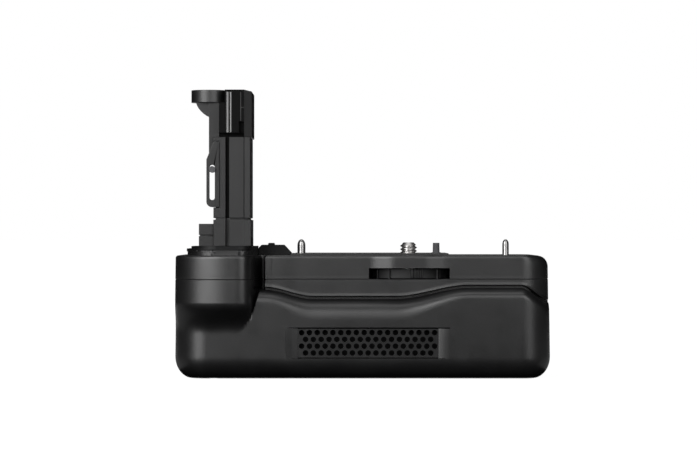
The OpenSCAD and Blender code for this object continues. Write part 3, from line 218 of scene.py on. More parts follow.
def stand_out(x, z):
    """How far the wall stands out in the strip beside the valley and in the hood over the wheel window."""
    rise = STRIP_START + (STRIP_OUT - STRIP_START) * np.clip((x - valley_x) / (strip_x - valley_x), 0, 1)
    fall = STRIP_OUT * np.clip(1 - (x - strip_x) / STRIP_RUN, 0, 1) ** 2
    hood = HOOD_OUT * soft_ramp(HOOD_HALF - np.abs(x - screw_x), HOOD_RAMP, HOOD_SOFT)
    return np.where(x < strip_x, rise, fall) + np.where(z > part_z, hood, 0)


def plain_front(x, z, t):
    """Front without the bulge and the valley; inside the skin the lip lies higher and the shoulder lower."""
    lip = lip_z(x)
    bead = LIP_BEAD * np.clip(1 - (z - t - lip) / LIP_BEAD_H, 0, 1) ** 2
    upper = (GROOVE_D + stand_out(x, z) + bead) * ease(lip - LIP_ROUND, lip, z - t)
    rise = np.clip((z + t - edge_z(x)) / shoulder_h(x), 0, 1)
    lower = (WALL_BACK - LOW_BACK + GROOVE_D) * np.sqrt(1 - rise ** SHOULDER_SOFT)
    return wall_y + GROOVE_D - np.maximum(upper, lower)


def open_front(x, z, t):
    y = plain_front(x, z, t)
    return y + (valley_y - y) * valley_part(x, z, t) + t


def column_front(x, z, t):
    share = np.clip((x - crest_x) / (CREST_IN - t), 0, 1)
    depth = (BULGE_D - t) * (1 - share ** BULGE_SQUARE) ** (1 / BULGE_SQUARE)
    return np.where(share < 1, column_y + bulge_in(z) - depth, rear_y)


def front_at(x, z, t):
    return np.minimum(open_front(x, z, t), column_front(x, z, t))


CORNER_STEPS = 28
FLAT_STEPS = 12
CREST_STEPS = 24
VALLEY_STEPS = 48
STRIP_STEPS = 8
WALL_STEPS = 170
front_xs = np.concatenate([
    np.linspace(crest_x, valley_start, CREST_STEPS + 1),
    np.linspace(valley_start, valley_end, VALLEY_STEPS + 1)[1:],
    np.linspace(valley_end, strip_x, STRIP_STEPS + 1)[1:],
    np.linspace(strip_x, corner_x, WALL_STEPS + 1)[1:]])


def outline(height, inset):
    """Closed outline of the body, counter-clockwise from above; height(x) is its height along the body."""
    a = np.linspace(0, math.pi / 2, CORNER_STEPS + 1)
    z = height(left_x + 0 * a)
    t = edge_in(z) + inset
    run = left_run(z)
    rows = [(left_x + run - (run - t - end_in(z)) * np.cos(a),
             column_y - (BULGE_D - t) * np.sin(a) + bulge_in(z), z)]
    start = left_x + run[0]
    flat = np.linspace(start, crest_x, FLAT_STEPS + 1)[1:-1]
    z = height(flat)
    rows.append((flat, front_at(flat, z, edge_in(z) + inset), z))
    z = height(front_xs)
    rows.append((front_xs, front_at(front_xs, z, edge_in(z) + inset), z))
    b = a[1:]
    x = corner_x + RIGHT_R * np.sin(b)
    z = height(x)
    t = edge_in(z) + inset
    rows.append((corner_x + (RIGHT_R - t - right_in(z)) * np.sin(b),
                 open_front(x, z, t) + (RIGHT_R - t) * (1 - np.cos(b)), z))
    z = height(right_x + 0 * a)
    t = edge_in(z) + inset
    rows.append((right_x - REAR_R + (REAR_R - t - right_in(z)) * np.cos(a),
                 rear_y - REAR_R + (REAR_R - t) * np.sin(a), z))
    z = height(left_x + 0 * a)
    t = edge_in(z) + inset
    rows.append((left_x + REAR_R - (REAR_R - t - end_in(z)) * np.sin(a),
                 rear_y - REAR_R + (REAR_R - t) * np.cos(a), z))
    return np.concatenate([np.stack(row, 1) for row in rows])


# Mesh helpers

def new_piece(name, verts, faces):
    mesh = bpy.data.meshes.new(name)
    mesh.from_pydata([tuple(float(c) * MM for c in v) for v in verts], [], faces)
    mesh.validate()
    piece = bpy.data.objects.new(name, mesh)
    bpy.context.scene.collection.objects.link(piece)
    return piece


def loft(name, rings):
    """Closed solid through rings of equal length, with flat ends."""
    n = len(rings[0])
    faces = [list(range(n))[::-1]]
    for k in range(len(rings) - 1):
        for i in range(n):
            j = (i + 1) % n
            faces.append([k * n + i, k * n + j, (k + 1) * n + j, (k + 1) * n + i])
    faces.append([(len(rings) - 1) * n + i for i in range(n)])
    return new_piece(name, np.concatenate(rings), faces)


BOX_FACES = [[0, 1, 3, 2], [4, 6, 7, 5], [0, 4, 5, 1], [2, 3, 7, 6], [0, 2, 6, 4], [1, 5, 7, 3]]
ROUND_SIDES = 48


# A shape is a pair: its points and its faces

def box(low, high):
    points = [(x, y, z) for x in (low[0], high[0]) for y in (low[1], high[1]) for z in (low[2], high[2])]
    return points, BOX_FACES


def prism(first, second):
    """Shape between two outlines with equal counts of points."""
    n = len(first)
    sides = [[i, (i + 1) % n, n + (i + 1) % n, n + i] for i in range(n)]
    return first + second, [list(range(n))[::-1], list(range(n, 2 * n))] + sides


def upright(outline_xy, z0, z1):
    return prism([(*p, z0) for p in outline_xy], [(*p, z1) for p in outline_xy])


def along_x(outline_yz, x0, x1):
    return prism([(x0, *p) for p in outline_yz], [(x1, *p) for p in outline_yz])


def along_y(outline_xz, y0, y1):
    return prism([(x, y0, z) for x, z in outline_xz], [(x, y1, z) for x, z in outline_xz])


def circle(u, v, r, sides):
    return [(u + r * math.cos(2 * math.pi * i / sides), v + r * math.sin(2 * math.pi * i / sides))
            for i in range(sides)]


def rod(x, y, r, z0, z1, sides=ROUND_SIDES):
    return upright(circle(x, y, r, sides), z0, z1)


def gather(name, shapes):
    """One piece from several closed shapes."""
    verts, faces = [], []
    for points, sides in shapes:
        faces += [[len(verts) + i for i in side] for side in sides]
        verts += points
    return new_piece(name, verts, faces)


def tube(x, y, inner, outer, z0, z1, sides=32):
    """Upright tube."""
    points = []
    for i in range(sides):
        a = 2 * math.pi * i / sides
        points += [(x + r * math.cos(a), y + r * math.sin(a), z)
                   for r, z in ((inner, z0), (outer, z0), (outer, z1), (inner, z1))]
    faces = [[4 * i + k, 4 * j + k, 4 * j + (k + 1) % 4, 4 * i + (k + 1) % 4]
             for i, j in ((i, (i + 1) % sides) for i in range(sides)) for k in range(4)]
    return points, faces


def half_round(x, half, y, out, z0, z1, steps=10):
    """Upright bar with a rounded front."""
    arc = [(x - half * math.cos(math.pi * i / steps), y - out * math.sin(math.pi * i / steps))
           for i in range(steps + 1)]
    return upright(arc, z0, z1)


def solid_centres(name, reach):
    """Centres, seen from above, of a node's separate solids, which all lie further apart than reach."""
    node = nodes[name]
    rest = np.array([node.matrix_world @ vertex.co for vertex in node.data.vertices])[:, :2] / MM
    centres = []
    while len(rest):
        near = np.linalg.norm(rest - rest[0], axis=1) < reach
        centres.append((rest[near].min(0) + rest[near].max(0)) / 2)
        rest = rest[~near]
    return centres


def face_out(mesh):
    """Welds a mesh and turns all its faces outwards."""
    work = bmesh.new()
    work.from_mesh(mesh)
    bmesh.ops.remove_doubles(work, verts=work.verts, dist=WELD * MM)
    bmesh.ops.recalc_face_normals(work, faces=work.faces)
    work.to_mesh(mesh)
    work.free()


def carve(piece, shapes):
    """Cuts shapes that don't overlap each other out of a piece for good."""
    tool = gather("cutter", shapes)
    face_out(tool.data)
    cut = piece.modifiers.new("cut", "BOOLEAN")
    cut.object = tool
    cut.solver = "EXACT"
    result = bpy.data.meshes.new_from_object(piece.evaluated_get(bpy.context.evaluated_depsgraph_get()))
    result.name = piece.name
    piece.modifiers.clear()
    piece.data = result
    bpy.data.objects.remove(tool)


SHARP = math.radians(28)
WELD = 0.002
EDGE_BEVEL = 0.15
EDGE_ANGLE = math.radians(35)


def smooth(piece):
    piece.data.shade_smooth()
    piece.data.set_sharp_from_angle(angle=SHARP)
    normals = piece.modifiers.new("normals", "WEIGHTED_NORMAL")
    normals.keep_sharp = True


def place(piece, body, slot, material, *replaced):
    piece.data.materials.clear()
    piece.data.materials.append(material)
    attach(piece, body)
    if replaced:
        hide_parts(*replaced)
    return piece


def soften(piece):
    """Rounds a piece's edges with a narrow bevel."""
    edge = piece.modifiers.new("edge", "BEVEL")
    edge.width = EDGE_BEVEL * MM
    edge.segments = 2
    edge.limit_method = "ANGLE"
    edge.angle_limit = EDGE_ANGLE
    normals = piece.modifiers.new("normals", "WEIGHTED_NORMAL")
    normals.keep_sharp = True


def dress(name, material):
    """Finish of a solid that stays: softened edges and a material."""
    node = nodes[name]
    for place_holder in node.material_slots:
        place_holder.material = material
    weld = node.modifiers.new("weld", "WELD")
    weld.merge_threshold = WELD * MM
    soften(node)


def copy_of(name, piece_name):
    """New piece with the welded shape of a solid."""
    mesh = nodes[name].data.copy()
    face_out(mesh)
    piece = bpy.data.objects.new(piece_name, mesh)
    bpy.context.scene.collection.objects.link(piece)
    return piece


# Materials

NOISE_LOW = 0.3
NOISE_HIGH = 0.7
EDGE_LOW = 0.51
EDGE_HIGH = 0.6
PATCH_TIMES_GRAIN = 14
PATCH_LEAST = 4


def grained(name, colour, rough, grain=0.3, grain_size=0.3, metal=0.0, patchy=0.12, rough_change=0.025,
            edge_sheen=0.0, specular=0.5):
    """Surface with a fine grain in its relief, slow changes of colour and gloss, and a painted highlight that
    makes its edges slightly paler.
    """
    material = bpy.data.materials.new(name)
    material.use_nodes = True
    tree = material.node_tree
    surface = tree.nodes["Principled BSDF"]
    surface.inputs["Metallic"].default_value = metal
    surface.inputs["Specular IOR Level"].default_value = specular
    where = tree.nodes.new("ShaderNodeTexCoord").outputs["Object"]

    def noise(size, detail):
        texture = tree.nodes.new("ShaderNodeTexNoise")
        texture.inputs["Scale"].default_value = 1 / (size * MM)
        texture.inputs["Detail"].default_value = detail
        tree.links.new(where, texture.inputs["Vector"])
        return texture.outputs["Fac"]

    def spread(value, low, high):
        scale = tree.nodes.new("ShaderNodeMapRange")
        scale.inputs["From Min"].default_value = NOISE_LOW
        scale.inputs["From Max"].default_value = NOISE_HIGH
        scale.inputs["To Min"].default_value = low
        scale.inputs["To Max"].default_value = high
        tree.links.new(value, scale.inputs["Value"])
        return scale.outputs["Result"]

    fine = noise(grain_size, 2)
    slow = noise(PATCH_TIMES_GRAIN * grain_size + PATCH_LEAST, 4)
    tint = tree.nodes.new("ShaderNodeMix")
    tint.data_type = "RGBA"
    dark = [c * (1 - patchy) for c in colour]
    light = [min(1, c * (1 + patchy)) for c in colour]
    tint.inputs["A"].default_value = (*dark, 1)
    tint.inputs["B"].default_value = (*light, 1)
    both = tree.nodes.new("ShaderNodeMath")
    both.operation = "ADD"
    tree.links.new(spread(fine, 0, 0.5), both.inputs[0])
    tree.links.new(spread(slow, 0, 0.5), both.inputs[1])
    tree.links.new(both.outputs[0], tint.inputs["Factor"])
    paint = tint.outputs["Result"]
    # Painted highlight: edges, found by pointiness, are mixed towards a paler colour
    if edge_sheen:
        edges = tree.nodes.new("ShaderNodeMapRange")
        edges.inputs["From Min"].default_value = EDGE_LOW
        edges.inputs["From Max"].default_value = EDGE_HIGH
        edges.inputs["To Max"].default_value = edge_sheen
        geometry = tree.nodes.new("ShaderNodeNewGeometry")
        tree.links.new(geometry.outputs["Pointiness"], edges.inputs["Value"])
        sheen_mix = tree.nodes.new("ShaderNodeMix")
        sheen_mix.data_type = "RGBA"
        sheen_mix.inputs["B"].default_value = (*[min(1, c * 2 + 0.02) for c in colour], 1)
        tree.links.new(edges.outputs["Result"], sheen_mix.inputs["Factor"])
        tree.links.new(paint, sheen_mix.inputs["A"])
        paint = sheen_mix.outputs["Result"]
    tree.links.new(paint, surface.inputs["Base Color"])
    tree.links.new(spread(slow, rough - rough_change, rough + rough_change), surface.inputs["Roughness"])
    bump = tree.nodes.new("ShaderNodeBump")
    bump.inputs["Strength"].default_value = grain
    bump.inputs["Distance"].default_value = 0.1 * grain_size * MM
    tree.links.new(fine, bump.inputs["Height"])
    tree.links.new(bump.outputs["Normal"], surface.inputs["Normal"])
    return material


shell_black = grained("shell_black", (0.0045, 0.0045, 0.0047), 0.38, grain=0.6, edge_sheen=0.3, specular=0.8)
grille_black = grained("grille_black", (0.0045, 0.0045, 0.0047), 0.38, grain=0.5, edge_sheen=0.2, specular=0.6)
soft_black = grained("soft_black", (0.0045, 0.0045, 0.0047), 0.4, grain=0.6, grain_size=0.4, specular=0.8)
wheel_black = grained("wheel_black", (0.0045, 0.0045, 0.0047), 0.55, grain=0.3, edge_sheen=0.3, specular=0.3)
nozzle_black = grained("nozzle_black", (0.004, 0.004, 0.0042), 0.5, grain=0.5, grain_size=0.4, specular=0.2)
index_grey = grained("index_grey", (0.055, 0.055, 0.058), 0.7, grain=0.3, specular=0.25)
tower_grey = grained("tower_grey", (0.006, 0.006, 0.0063), 0.4, grain=0.5, grain_size=0.25, edge_sheen=0.2,
                     specular=0.6)
head_black = grained("head_black", (0.002, 0.002, 0.0021), 0.32, grain=0.3, edge_sheen=0.2, specular=0.04)
# Painted highlight: the head's slanted edge is made paler and glossier than its front
painted_lit_edge_black = grained("painted_lit_edge_black", (0.003, 0.003, 0.0031), 0.4, grain=0.4, edge_sheen=0.2, specular=0.22)
bright_steel = grained("bright_steel", (0.57, 0.56, 0.55), 0.34, grain=0.15, grain_size=0.5, metal=1,
                       patchy=0.06, rough_change=0.05)
pin_steel = grained("pin_steel", (0.36, 0.355, 0.35), 0.34, grain=0.15, grain_size=0.5, metal=1,
                    patchy=0.06, rough_change=0.05)
disc_black = grained("disc_black", (0.004, 0.004, 0.004), 0.46, grain=0.3, edge_sheen=0.2, specular=0.95)
rail_metal = grained("rail_metal", (0.2, 0.2, 0.2), 0.3, grain=0.2, metal=0.3, patchy=0.08)
dark_metal = grained("dark_metal", (0.1, 0.1, 0.105), 0.4, grain=0.2, metal=0.8, patchy=0.15)
plain_steel = grained("plain_steel", (0.5, 0.5, 0.49), 0.35, grain=0.3, metal=1, patchy=0.1)
inner_black = grained("inner_black", (0.03, 0.03, 0.03), 0.5, grain=0.4)
inner_pale = grained("inner_pale", (0.5, 0.48, 0.43), 0.45, grain=0.3, patchy=0.08)
contact_gold = grained("contact_gold", (0.75, 0.52, 0.2), 0.25, grain=0.15, metal=1, patchy=0.08)
motor_copper = grained("motor_copper", (0.6, 0.3, 0.16), 0.35, grain=0.4, metal=1, patchy=0.15)
board_green = grained("board_green", (0.02, 0.11, 0.05), 0.4, grain=0.3, patchy=0.15)
filter_mesh = grained("filter_mesh", (0.004, 0.004, 0.004), 0.8, grain=1, grain_size=0.6, patchy=0.4,
                      specular=0.1)


# Housings in full resolution

def level(z):
    return lambda x: z + 0 * x


def mix(first, second, u):
    return lambda x: first(x) + u * (second(x) - first(x))


def steps(count):
    return np.linspace(0, 1, count + 1)[1:]


def bead_top(x):
    return lip_z(x) + LIP_BEAD_H


BOTTOM_ROWS = 18
FRONT_ROWS = 18
SHOULDER_ROWS = 16
GROOVE_ROWS = 8
BEAD_ROWS = 5
SEAM_ROWS = 4
SIDE_ROWS = 6
EDGE_ROWS = 12
low_rows = [level(BOTTOM_ROUND_H * (1 - math.cos(u * math.pi / 2)))
            for u in np.linspace(0, 1, BOTTOM_ROWS + 1)]
low_rows += [mix(level(BOTTOM_ROUND_H), edge_z, u) for u in steps(FRONT_ROWS)]
low_rows += [mix(edge_z, shoulder_top, math.sin(u * math.pi / 2)) for u in steps(SHOULDER_ROWS)]
low_rows += [mix(shoulder_top, lip_z, u) for u in steps(GROOVE_ROWS)]
low_rows += [mix(lip_z, bead_top, u) for u in steps(BEAD_ROWS)]
low_rows += [mix(bead_top, level(part_z - SEAM), u) for u in steps(SEAM_ROWS)]
low_rings = [outline(row, 0) for row in low_rows]
low_rings.append(outline(level(part_z), SEAM))
cavity_rows = [level(part_z), *low_rows[-2::-1]]
cavity_share = (part_z - WALL) / part_z
low_rings += [outline(lambda x, row=row: WALL + cavity_share * row(x), WALL) for row in cavity_rows]
lower = loft("lower_shell", low_rings)

high_rows = [level(part_z), level(part_z + SEAM)]
turn = body_h - RIGHT_TOP_ROUND
high_rows += [level(part_z + SEAM + u * (turn - part_z - SEAM)) for u in steps(SIDE_ROWS)]
high_rows += [level(turn + RIGHT_TOP_ROUND * math.sin(u * math.pi / 2)) for u in steps(EDGE_ROWS)]
high_rings = [outline(level(body_h - WALL), WALL), outline(level(part_z), WALL)]
high_rings += [outline(row, SEAM if k == 0 else 0) for k, row in enumerate(high_rows)]
upper = loft("upper_shell", high_rings)

FIT = 0.1
GAP = 0.35
CUT = 1.0
SCREW_R = 3.1
SCREW_HOLE_GAP = 0.6
WINDOW_IN = 0.9
WINDOW_TO_SCREW = 8.0
POST_R = 2.3
POST_HOLE_R = 1.05
POST_REACH = 6.0
SCREW_HEAD_R = 1.9
SCREW_HEAD_IN = 1.15
SCREW_HEAD_H = 1.0
SCREW_SOCKET_R = 0.8
SCREW_SOCKET_D = 0.6
SCREW_SOCKET_SIDES = 6
SCREW_BITE = 3.5
far_out = Vector((CUT, CUT, CUT))
grille_low, grille_high = node_box("front_grille")
door_low, door_high = node_box("battery_door")
bush_low, bush_high = node_box("tripod_bush")
bush_r = (bush_high.x - bush_low.x) / 2
wheel_low, wheel_high = node_box("lock_wheel")
wheel_r = (wheel_high.x - wheel_low.x) / 2
window_half = wheel_r - WINDOW_IN
screw_low, screw_high = node_box("mount_screw")
post_places = solid_centres("housing_screws", POST_REACH)
screw_head_top = SCREW_HEAD_IN + SCREW_HEAD_H

# Recess of the grille: sloping ends, a slit along its top and a sloping ledge along its foot
RECESS = 0.8
RAMP = 4.3
RAMP_STEPS = 16
LEFT_RAMP_BEND = 1.2
RIGHT_RAMP_BEND = 2.0
SLIT_H = 0.5
SLIT_D = 2.1
LEDGE_H = 0.5
ramp_us = np.linspace(0, 1, RAMP_STEPS + 1)
before_y = low_y - CUT
recess_line = [(grille_low.x, before_y)]
recess_line += [(grille_low.x + RAMP * u, low_y + RECESS * u ** LEFT_RAMP_BEND) for u in ramp_us]
recess_line += [(grille_high.x - RAMP * u, low_y + RECESS * u ** RIGHT_RAMP_BEND) for u in ramp_us[::-1]]
recess_line.append((grille_high.x, before_y))
slit_z = grille_high.z - SLIT_H
slit_line = [(grille_low.x, grille_high.z), (grille_low.x + RAMP, slit_z), (grille_high.x, slit_z),
             (grille_high.x, grille_high.z)]
ledge_line = [(low_y + RECESS, grille_low.z), (before_y, grille_low.z), (before_y, grille_low.z - LEDGE_H)]
plate_low = Vector((grille_low.x + RAMP, low_y + RECESS, grille_low.z))
plate_high = Vector((grille_high.x - RAMP, low_y + WALL + CUT, grille_high.z))
cuts = [upright(recess_line, grille_low.z, grille_high.z),
        box((right_x - WALL - CUT, door_low.y - GAP, door_low.z - GAP),
            (right_x + CUT, door_high.y + GAP, door_high.z + GAP)),
        rod(screw_x, screw_y, bush_r + FIT, -CUT, WALL + CUT)]
cuts += [rod(x, y, SCREW_HEAD_R + FIT, -CUT, screw_head_top) for x, y in post_places]
carve(lower, cuts)
cuts = [along_y(slit_line, before_y, low_y + SLIT_D),
        along_x(ledge_line, grille_low.x + RAMP / 2, grille_high.x - RAMP / 2)]
cuts += [rod(x, y, POST_HOLE_R, 0, WALL + CUT) for x, y in post_places]
carve(lower, cuts)
carve(lower, [box(plate_low, plate_high)])
lower_posts = gather("lower_posts", [tube(x, y, POST_HOLE_R, POST_R, WALL - SEAM, part_z)
                                     for x, y in post_places])
upper_posts = gather("upper_posts", [tube(x, y, POST_HOLE_R, POST_R, part_z, body_h - WALL + SEAM)
                                     for x, y in post_places])

# Openings of the upper shell: wheel window, screw, pins, root of the tower and spigot of the air duct
ROOT_LEFT_IN = 0.7
ROOT_RIGHT_IN = 3.1
ROOT_IN = 2.9
SPIGOT_IN = 1.0
shell_low = node_box("tower_left_shell")[0]
base_low, base_high = node_box("tower_base")
duct_low, duct_high = node_box("air_duct")
cuts = [box((screw_x - window_half, front_y - CUT, part_z - CUT),
            (screw_x + window_half, screw_y - WINDOW_TO_SCREW, wheel_high.z + GAP)),
        rod(screw_x, screw_y, SCREW_R + SCREW_HOLE_GAP, part_z, body_h + CUT)]
for pin in ("locating_pin_left", "locating_pin_right"):
    pin_low, pin_high = node_box(pin)
    pin_middle = (pin_low + pin_high) / 2
    cuts.append(rod(pin_middle.x, pin_middle.y, (pin_high.x - pin_low.x) / 2 + FIT / 2, part_z, body_h + CUT))
cuts.append(box((shell_low.x + ROOT_LEFT_IN, base_low.y + ROOT_IN, part_z),
                (base_high.x - ROOT_RIGHT_IN, base_high.y - ROOT_IN, body_h + CUT)))
cuts.append(box((duct_low.x + SPIGOT_IN, duct_low.y + SPIGOT_IN, part_z),
                (duct_high.x - SPIGOT_IN, duct_high.y - SPIGOT_IN, body_h + CUT)))
carve(upper, cuts)
smooth(lower)
smooth(upper)
place(lower, "grip", "shell_black", shell_black, "lower_housing")
place(upper, "grip", "shell_black", shell_black, "upper_housing")
for posts in (lower_posts, upper_posts):
    smooth(posts)
    place(posts, "grip", "shell_black", shell_black)

# Housing screws, their heads sunk below the rounded edge and each with a six-sided socket
screws = gather("sunk_screws", [rod(x, y, SCREW_HEAD_R, SCREW_HEAD_IN, screw_head_top - FIT)
                                for x, y in post_places])
carve(screws, [rod(x, y, SCREW_SOCKET_R, -CUT, SCREW_HEAD_IN + SCREW_SOCKET_D, SCREW_SOCKET_SIDES)
               for x, y in post_places])
shanks = gather("screw_shanks", [rod(x, y, POST_HOLE_R - FIT, screw_head_top - FIT, part_z + SCREW_BITE)
                                 for x, y in post_places])
for piece in (screws, shanks):
    smooth(piece)
    place(piece, "grip", "dark_metal", dark_metal, "housing_screws")

# Perforated plate of the grille
PLATE_T = 0.5
PLATE_GAP = 0.25
HOLE_R = 1.03
HOLE_PITCH = 2.87
HOLE_ROWS = 4
HOLES = 18
HOLE_SIDES = 32
plate = gather("grille_plate", [box(plate_low + Vector((FIT, 0, PLATE_GAP)),
                                    (plate_high.x - FIT, low_y + RECESS + PLATE_T, plate_high.z - SLIT_H))])
row_step = HOLE_PITCH * math.sqrt(3) / 2
grille_middle = (grille_low + grille_high) / 2
holes = []
for row in range(HOLE_ROWS):
    count = HOLES - row % 2
    hole_z = grille_middle.z + ((HOLE_ROWS - 1) / 2 - row) * row_step
    for i in range(count):
        hole_x = grille_middle.x + (i - (count - 1) / 2) * HOLE_PITCH
        holes.append(along_y(circle(hole_x, hole_z, HOLE_R, HOLE_SIDES), low_y, low_y + WALL))
carve(plate, holes)
smooth(plate)
place(plate, "grip", "grille_black", grille_black, "front_grille")

# Collar: a lit foot, and above and beside it a ring that reaches the air nozzle, in a darker, duller finish
# that paints shade on it
BAND_H = 1.75
COLLAR_RIGHT = 2.4
collar_low, collar_high = node_box("tower_collar")
nozzle_low, nozzle_high = node_box("air_nozzle")
pad_low, pad_high = node_box("top_pad")
band_top = collar_low.z + BAND_H
band_right = collar_high.x - COLLAR_RIGHT
past_collar = collar_high + far_out
collar_band = copy_of("tower_collar", "collar_band")
carve(collar_band, [box((collar_low.x - CUT, collar_low.y - CUT, band_top), past_collar)])
carve(collar_band, [box((band_right, collar_low.y - CUT, collar_low.z - CUT), past_collar)])
collar_painted_shade_ring = copy_of("tower_collar", "collar_painted_shade_ring")
carve(collar_painted_shade_ring, [box(collar_low - far_out, (band_right, collar_high.y + CUT, band_top))])
collar_bridge = gather("collar_bridge", [box((collar_high.x, nozzle_low.y, body_h),
                                             (nozzle_low.x, nozzle_high.y, collar_high.z - BAND_H / 2))])
pad_tongue = gather("pad_tongue", [box((nozzle_high.x, pad_low.y, body_h),
                                       (pad_low.x, nozzle_high.y, pad_high.z))])
# Painted shade: the ring and the bridge take the nozzle's darker, duller finish; the foot keeps the pad's
# finish
for piece, finish, replaced in ((collar_band, soft_black, ["tower_collar"]),
                                (collar_painted_shade_ring, nozzle_black, ["tower_collar"]),
                                (collar_bridge, nozzle_black, []), (pad_tongue, soft_black, [])):
    soften(piece)
    place(piece, "grip", "soft_black", finish, *replaced)

# Raised lines on the lock wheel's rim, beside each smooth block
RIM_LINES = (221.5, 242)
RIM_LINE_HALF = 0.28
RIM_LINE_OUT = 0.2
RIM_LINE_IN = 0.3
RIM_LINE_STEPS = 8


def rim_line(turn):
    """Upright half-round line on the rim, at an angle in degrees."""
    a = math.radians(turn)
    arc = []
    for k in range(RIM_LINE_STEPS + 1):
        aside = -RIM_LINE_HALF * math.cos(math.pi * k / RIM_LINE_STEPS)
        out = wheel_r - RIM_LINE_OUT / 2 + RIM_LINE_OUT * math.sin(math.pi * k / RIM_LINE_STEPS)
        x = screw_x + out * math.cos(a) - aside * math.sin(a)
        y = screw_y + out * math.sin(a) + aside * math.cos(a)
        arc.append((x, y))
    return upright(arc, wheel_low.z + RIM_LINE_IN, wheel_high.z - RIM_LINE_IN)


rim_lines = gather("rim_lines", [rim_line(turn + 90 * quarter) for turn in RIM_LINES for quarter in range(4)])
smooth(rim_lines)
place(rim_lines, "wheel", "wheel_black", tower_grey)

# Mounting screw with a true thread
SHANK_IN = 0.5
FLANGE_T = 1.2
THREAD_PITCH = 1.27
THREAD_DEPTH = 0.7
THREAD_ROOT = 0.12
THREAD_FLANK = 0.72
TIP_BEVEL = 0.5
THREAD_SIDES = 72
THREAD_ROW = 0.06
flange_r = (screw_high.x - screw_low.x) / 2
flange_z = wheel_high.z + FIT
thread_low = flange_z + FLANGE_T
root_r = SCREW_R - THREAD_DEPTH
around = np.arange(THREAD_SIDES) * 2 * math.pi / THREAD_SIDES


def turned(radius, z):
    return np.stack([screw_x + radius * np.cos(around), screw_y + radius * np.sin(around), z + 0 * around], 1)


def threaded(z):
    phase = ((screw_high.z - z) / THREAD_PITCH + around / (2 * math.pi)) % 1
    crest = np.clip((1 - np.abs(2 * phase - 1) - THREAD_ROOT) / THREAD_FLANK, 0, 1)
    return turned(np.minimum(root_r + THREAD_DEPTH * crest, root_r - TIP_BEVEL + screw_high.z - z), z)


screw_rings = [turned(SCREW_R - SHANK_IN, screw_low.z), turned(SCREW_R - SHANK_IN, flange_z),
               turned(flange_r, flange_z), turned(flange_r, thread_low), turned(root_r, thread_low)]
screw_rings += [threaded(z) for z in np.arange(thread_low + THREAD_ROW, screw_high.z, THREAD_ROW)]
screw_rings.append(turned(root_r - TIP_BEVEL, screw_high.z))
screw = loft("threaded_screw", screw_rings)
smooth(screw)
place(screw, "wheel", "bright_steel", bright_steel, "mount_screw")

# Bright guide rails and fine ridges on the front of the tower's head
HEAD_FACE = 0.35
HEAD_TOP_IN = 0.9
RAIL_INS = (3.04, 4.23)
RAIL_HALVES = (0.54, 0.4)
RAIL_OUT = 0.38
RAIL_FOOT = 1.75
RIDGE_IN = 7.97
RIDGE_HALF = 0.2
RIDGE_OUT = 0.25
RIDGE_FOOT = 5.9
BAR_IN = 8.6
BAR_HALF = 0.6
BAR_OUT = 0.2
BAR_FOOT = 10.7
BAR_TOP = 11
head_low, head_high = node_box("tower_head")
head_y = head_low.y + HEAD_FACE
rail_top = head_high.z - HEAD_TOP_IN
rails = gather("head_rails", [
    half_round(head_low.x + rail_in, half, head_y, RAIL_OUT, head_low.z + RAIL_FOOT, rail_top)
    for rail_in, half in zip(RAIL_INS, RAIL_HALVES)])
smooth(rails)
place(rails, "grip", "dark_metal", rail_metal)
ridges = gather("head_ridges", [
    half_round(head_low.x + RIDGE_IN, RIDGE_HALF, head_y, RIDGE_OUT, head_low.z + RIDGE_FOOT, rail_top),
    half_round(head_low.x + BAR_IN, BAR_HALF, head_y, BAR_OUT, head_low.z + BAR_FOOT, head_low.z + BAR_TOP)])
smooth(ridges)
place(ridges, "grip", "head_black", tower_grey)

# The head in two finishes, its slanted edge paler and glossier than its front as a painted highlight, with a
# notch that shows the disc's right half; the disc apart from its neck
CHAMFER = 2.45
DISC_H = 4.6
DISC_SIDES = 96
NECK_OUT = 1.75
NOTCH_WALL = 0.15
flat_x = base_high.x - CHAMFER
neck_x = shell_low.x - NECK_OUT
notch_x = node_box("tower_contacts")[0].x - NOTCH_WALL
disc_low, disc_high = node_box("head_disc")
disc_z = disc_high.z - DISC_H
disc_r = (disc_high.y - disc_low.y) / 2
disc_x = disc_low.x + disc_r
disc_y = disc_low.y + disc_r
past_head = head_high + far_out
head_core = copy_of("tower_head", "head_core")
carve(head_core, [box((flat_x, head_low.y - CUT, head_low.z - CUT), past_head)])
head_edge = copy_of("tower_head", "head_edge")
carve(head_edge, [box(head_low - far_out, (flat_x, head_high.y + CUT, head_high.z + CUT))])
carve(head_core, [box((head_low.x - CUT, head_low.y - CUT, disc_z - FIT),
                      (notch_x, disc_high.y + FIT, head_high.z + CUT))])
head_cap = gather("head_cap", [rod(disc_x, disc_y, disc_r, disc_z, disc_high.z, DISC_SIDES)])
carve(head_cap, [box((notch_x - FIT, disc_low.y - CUT, disc_z - CUT), past_head)])
head_neck = copy_of("head_disc", "head_neck")
carve(head_neck, [box((disc_low.x - CUT, disc_low.y - CUT, disc_z), disc_high + far_out)])
carve(head_neck, [box(disc_low - far_out, (neck_x, disc_high.y + CUT, disc_z + CUT))])
for piece, finish, solid in ((head_core, head_black, "tower_head"), (head_edge, painted_lit_edge_black, "tower_head"),
                             (head_cap, disc_black, "head_disc"), (head_neck, tower_grey, "head_disc")):
    soften(piece)
    place(piece, "grip", "head_black", finish, solid)

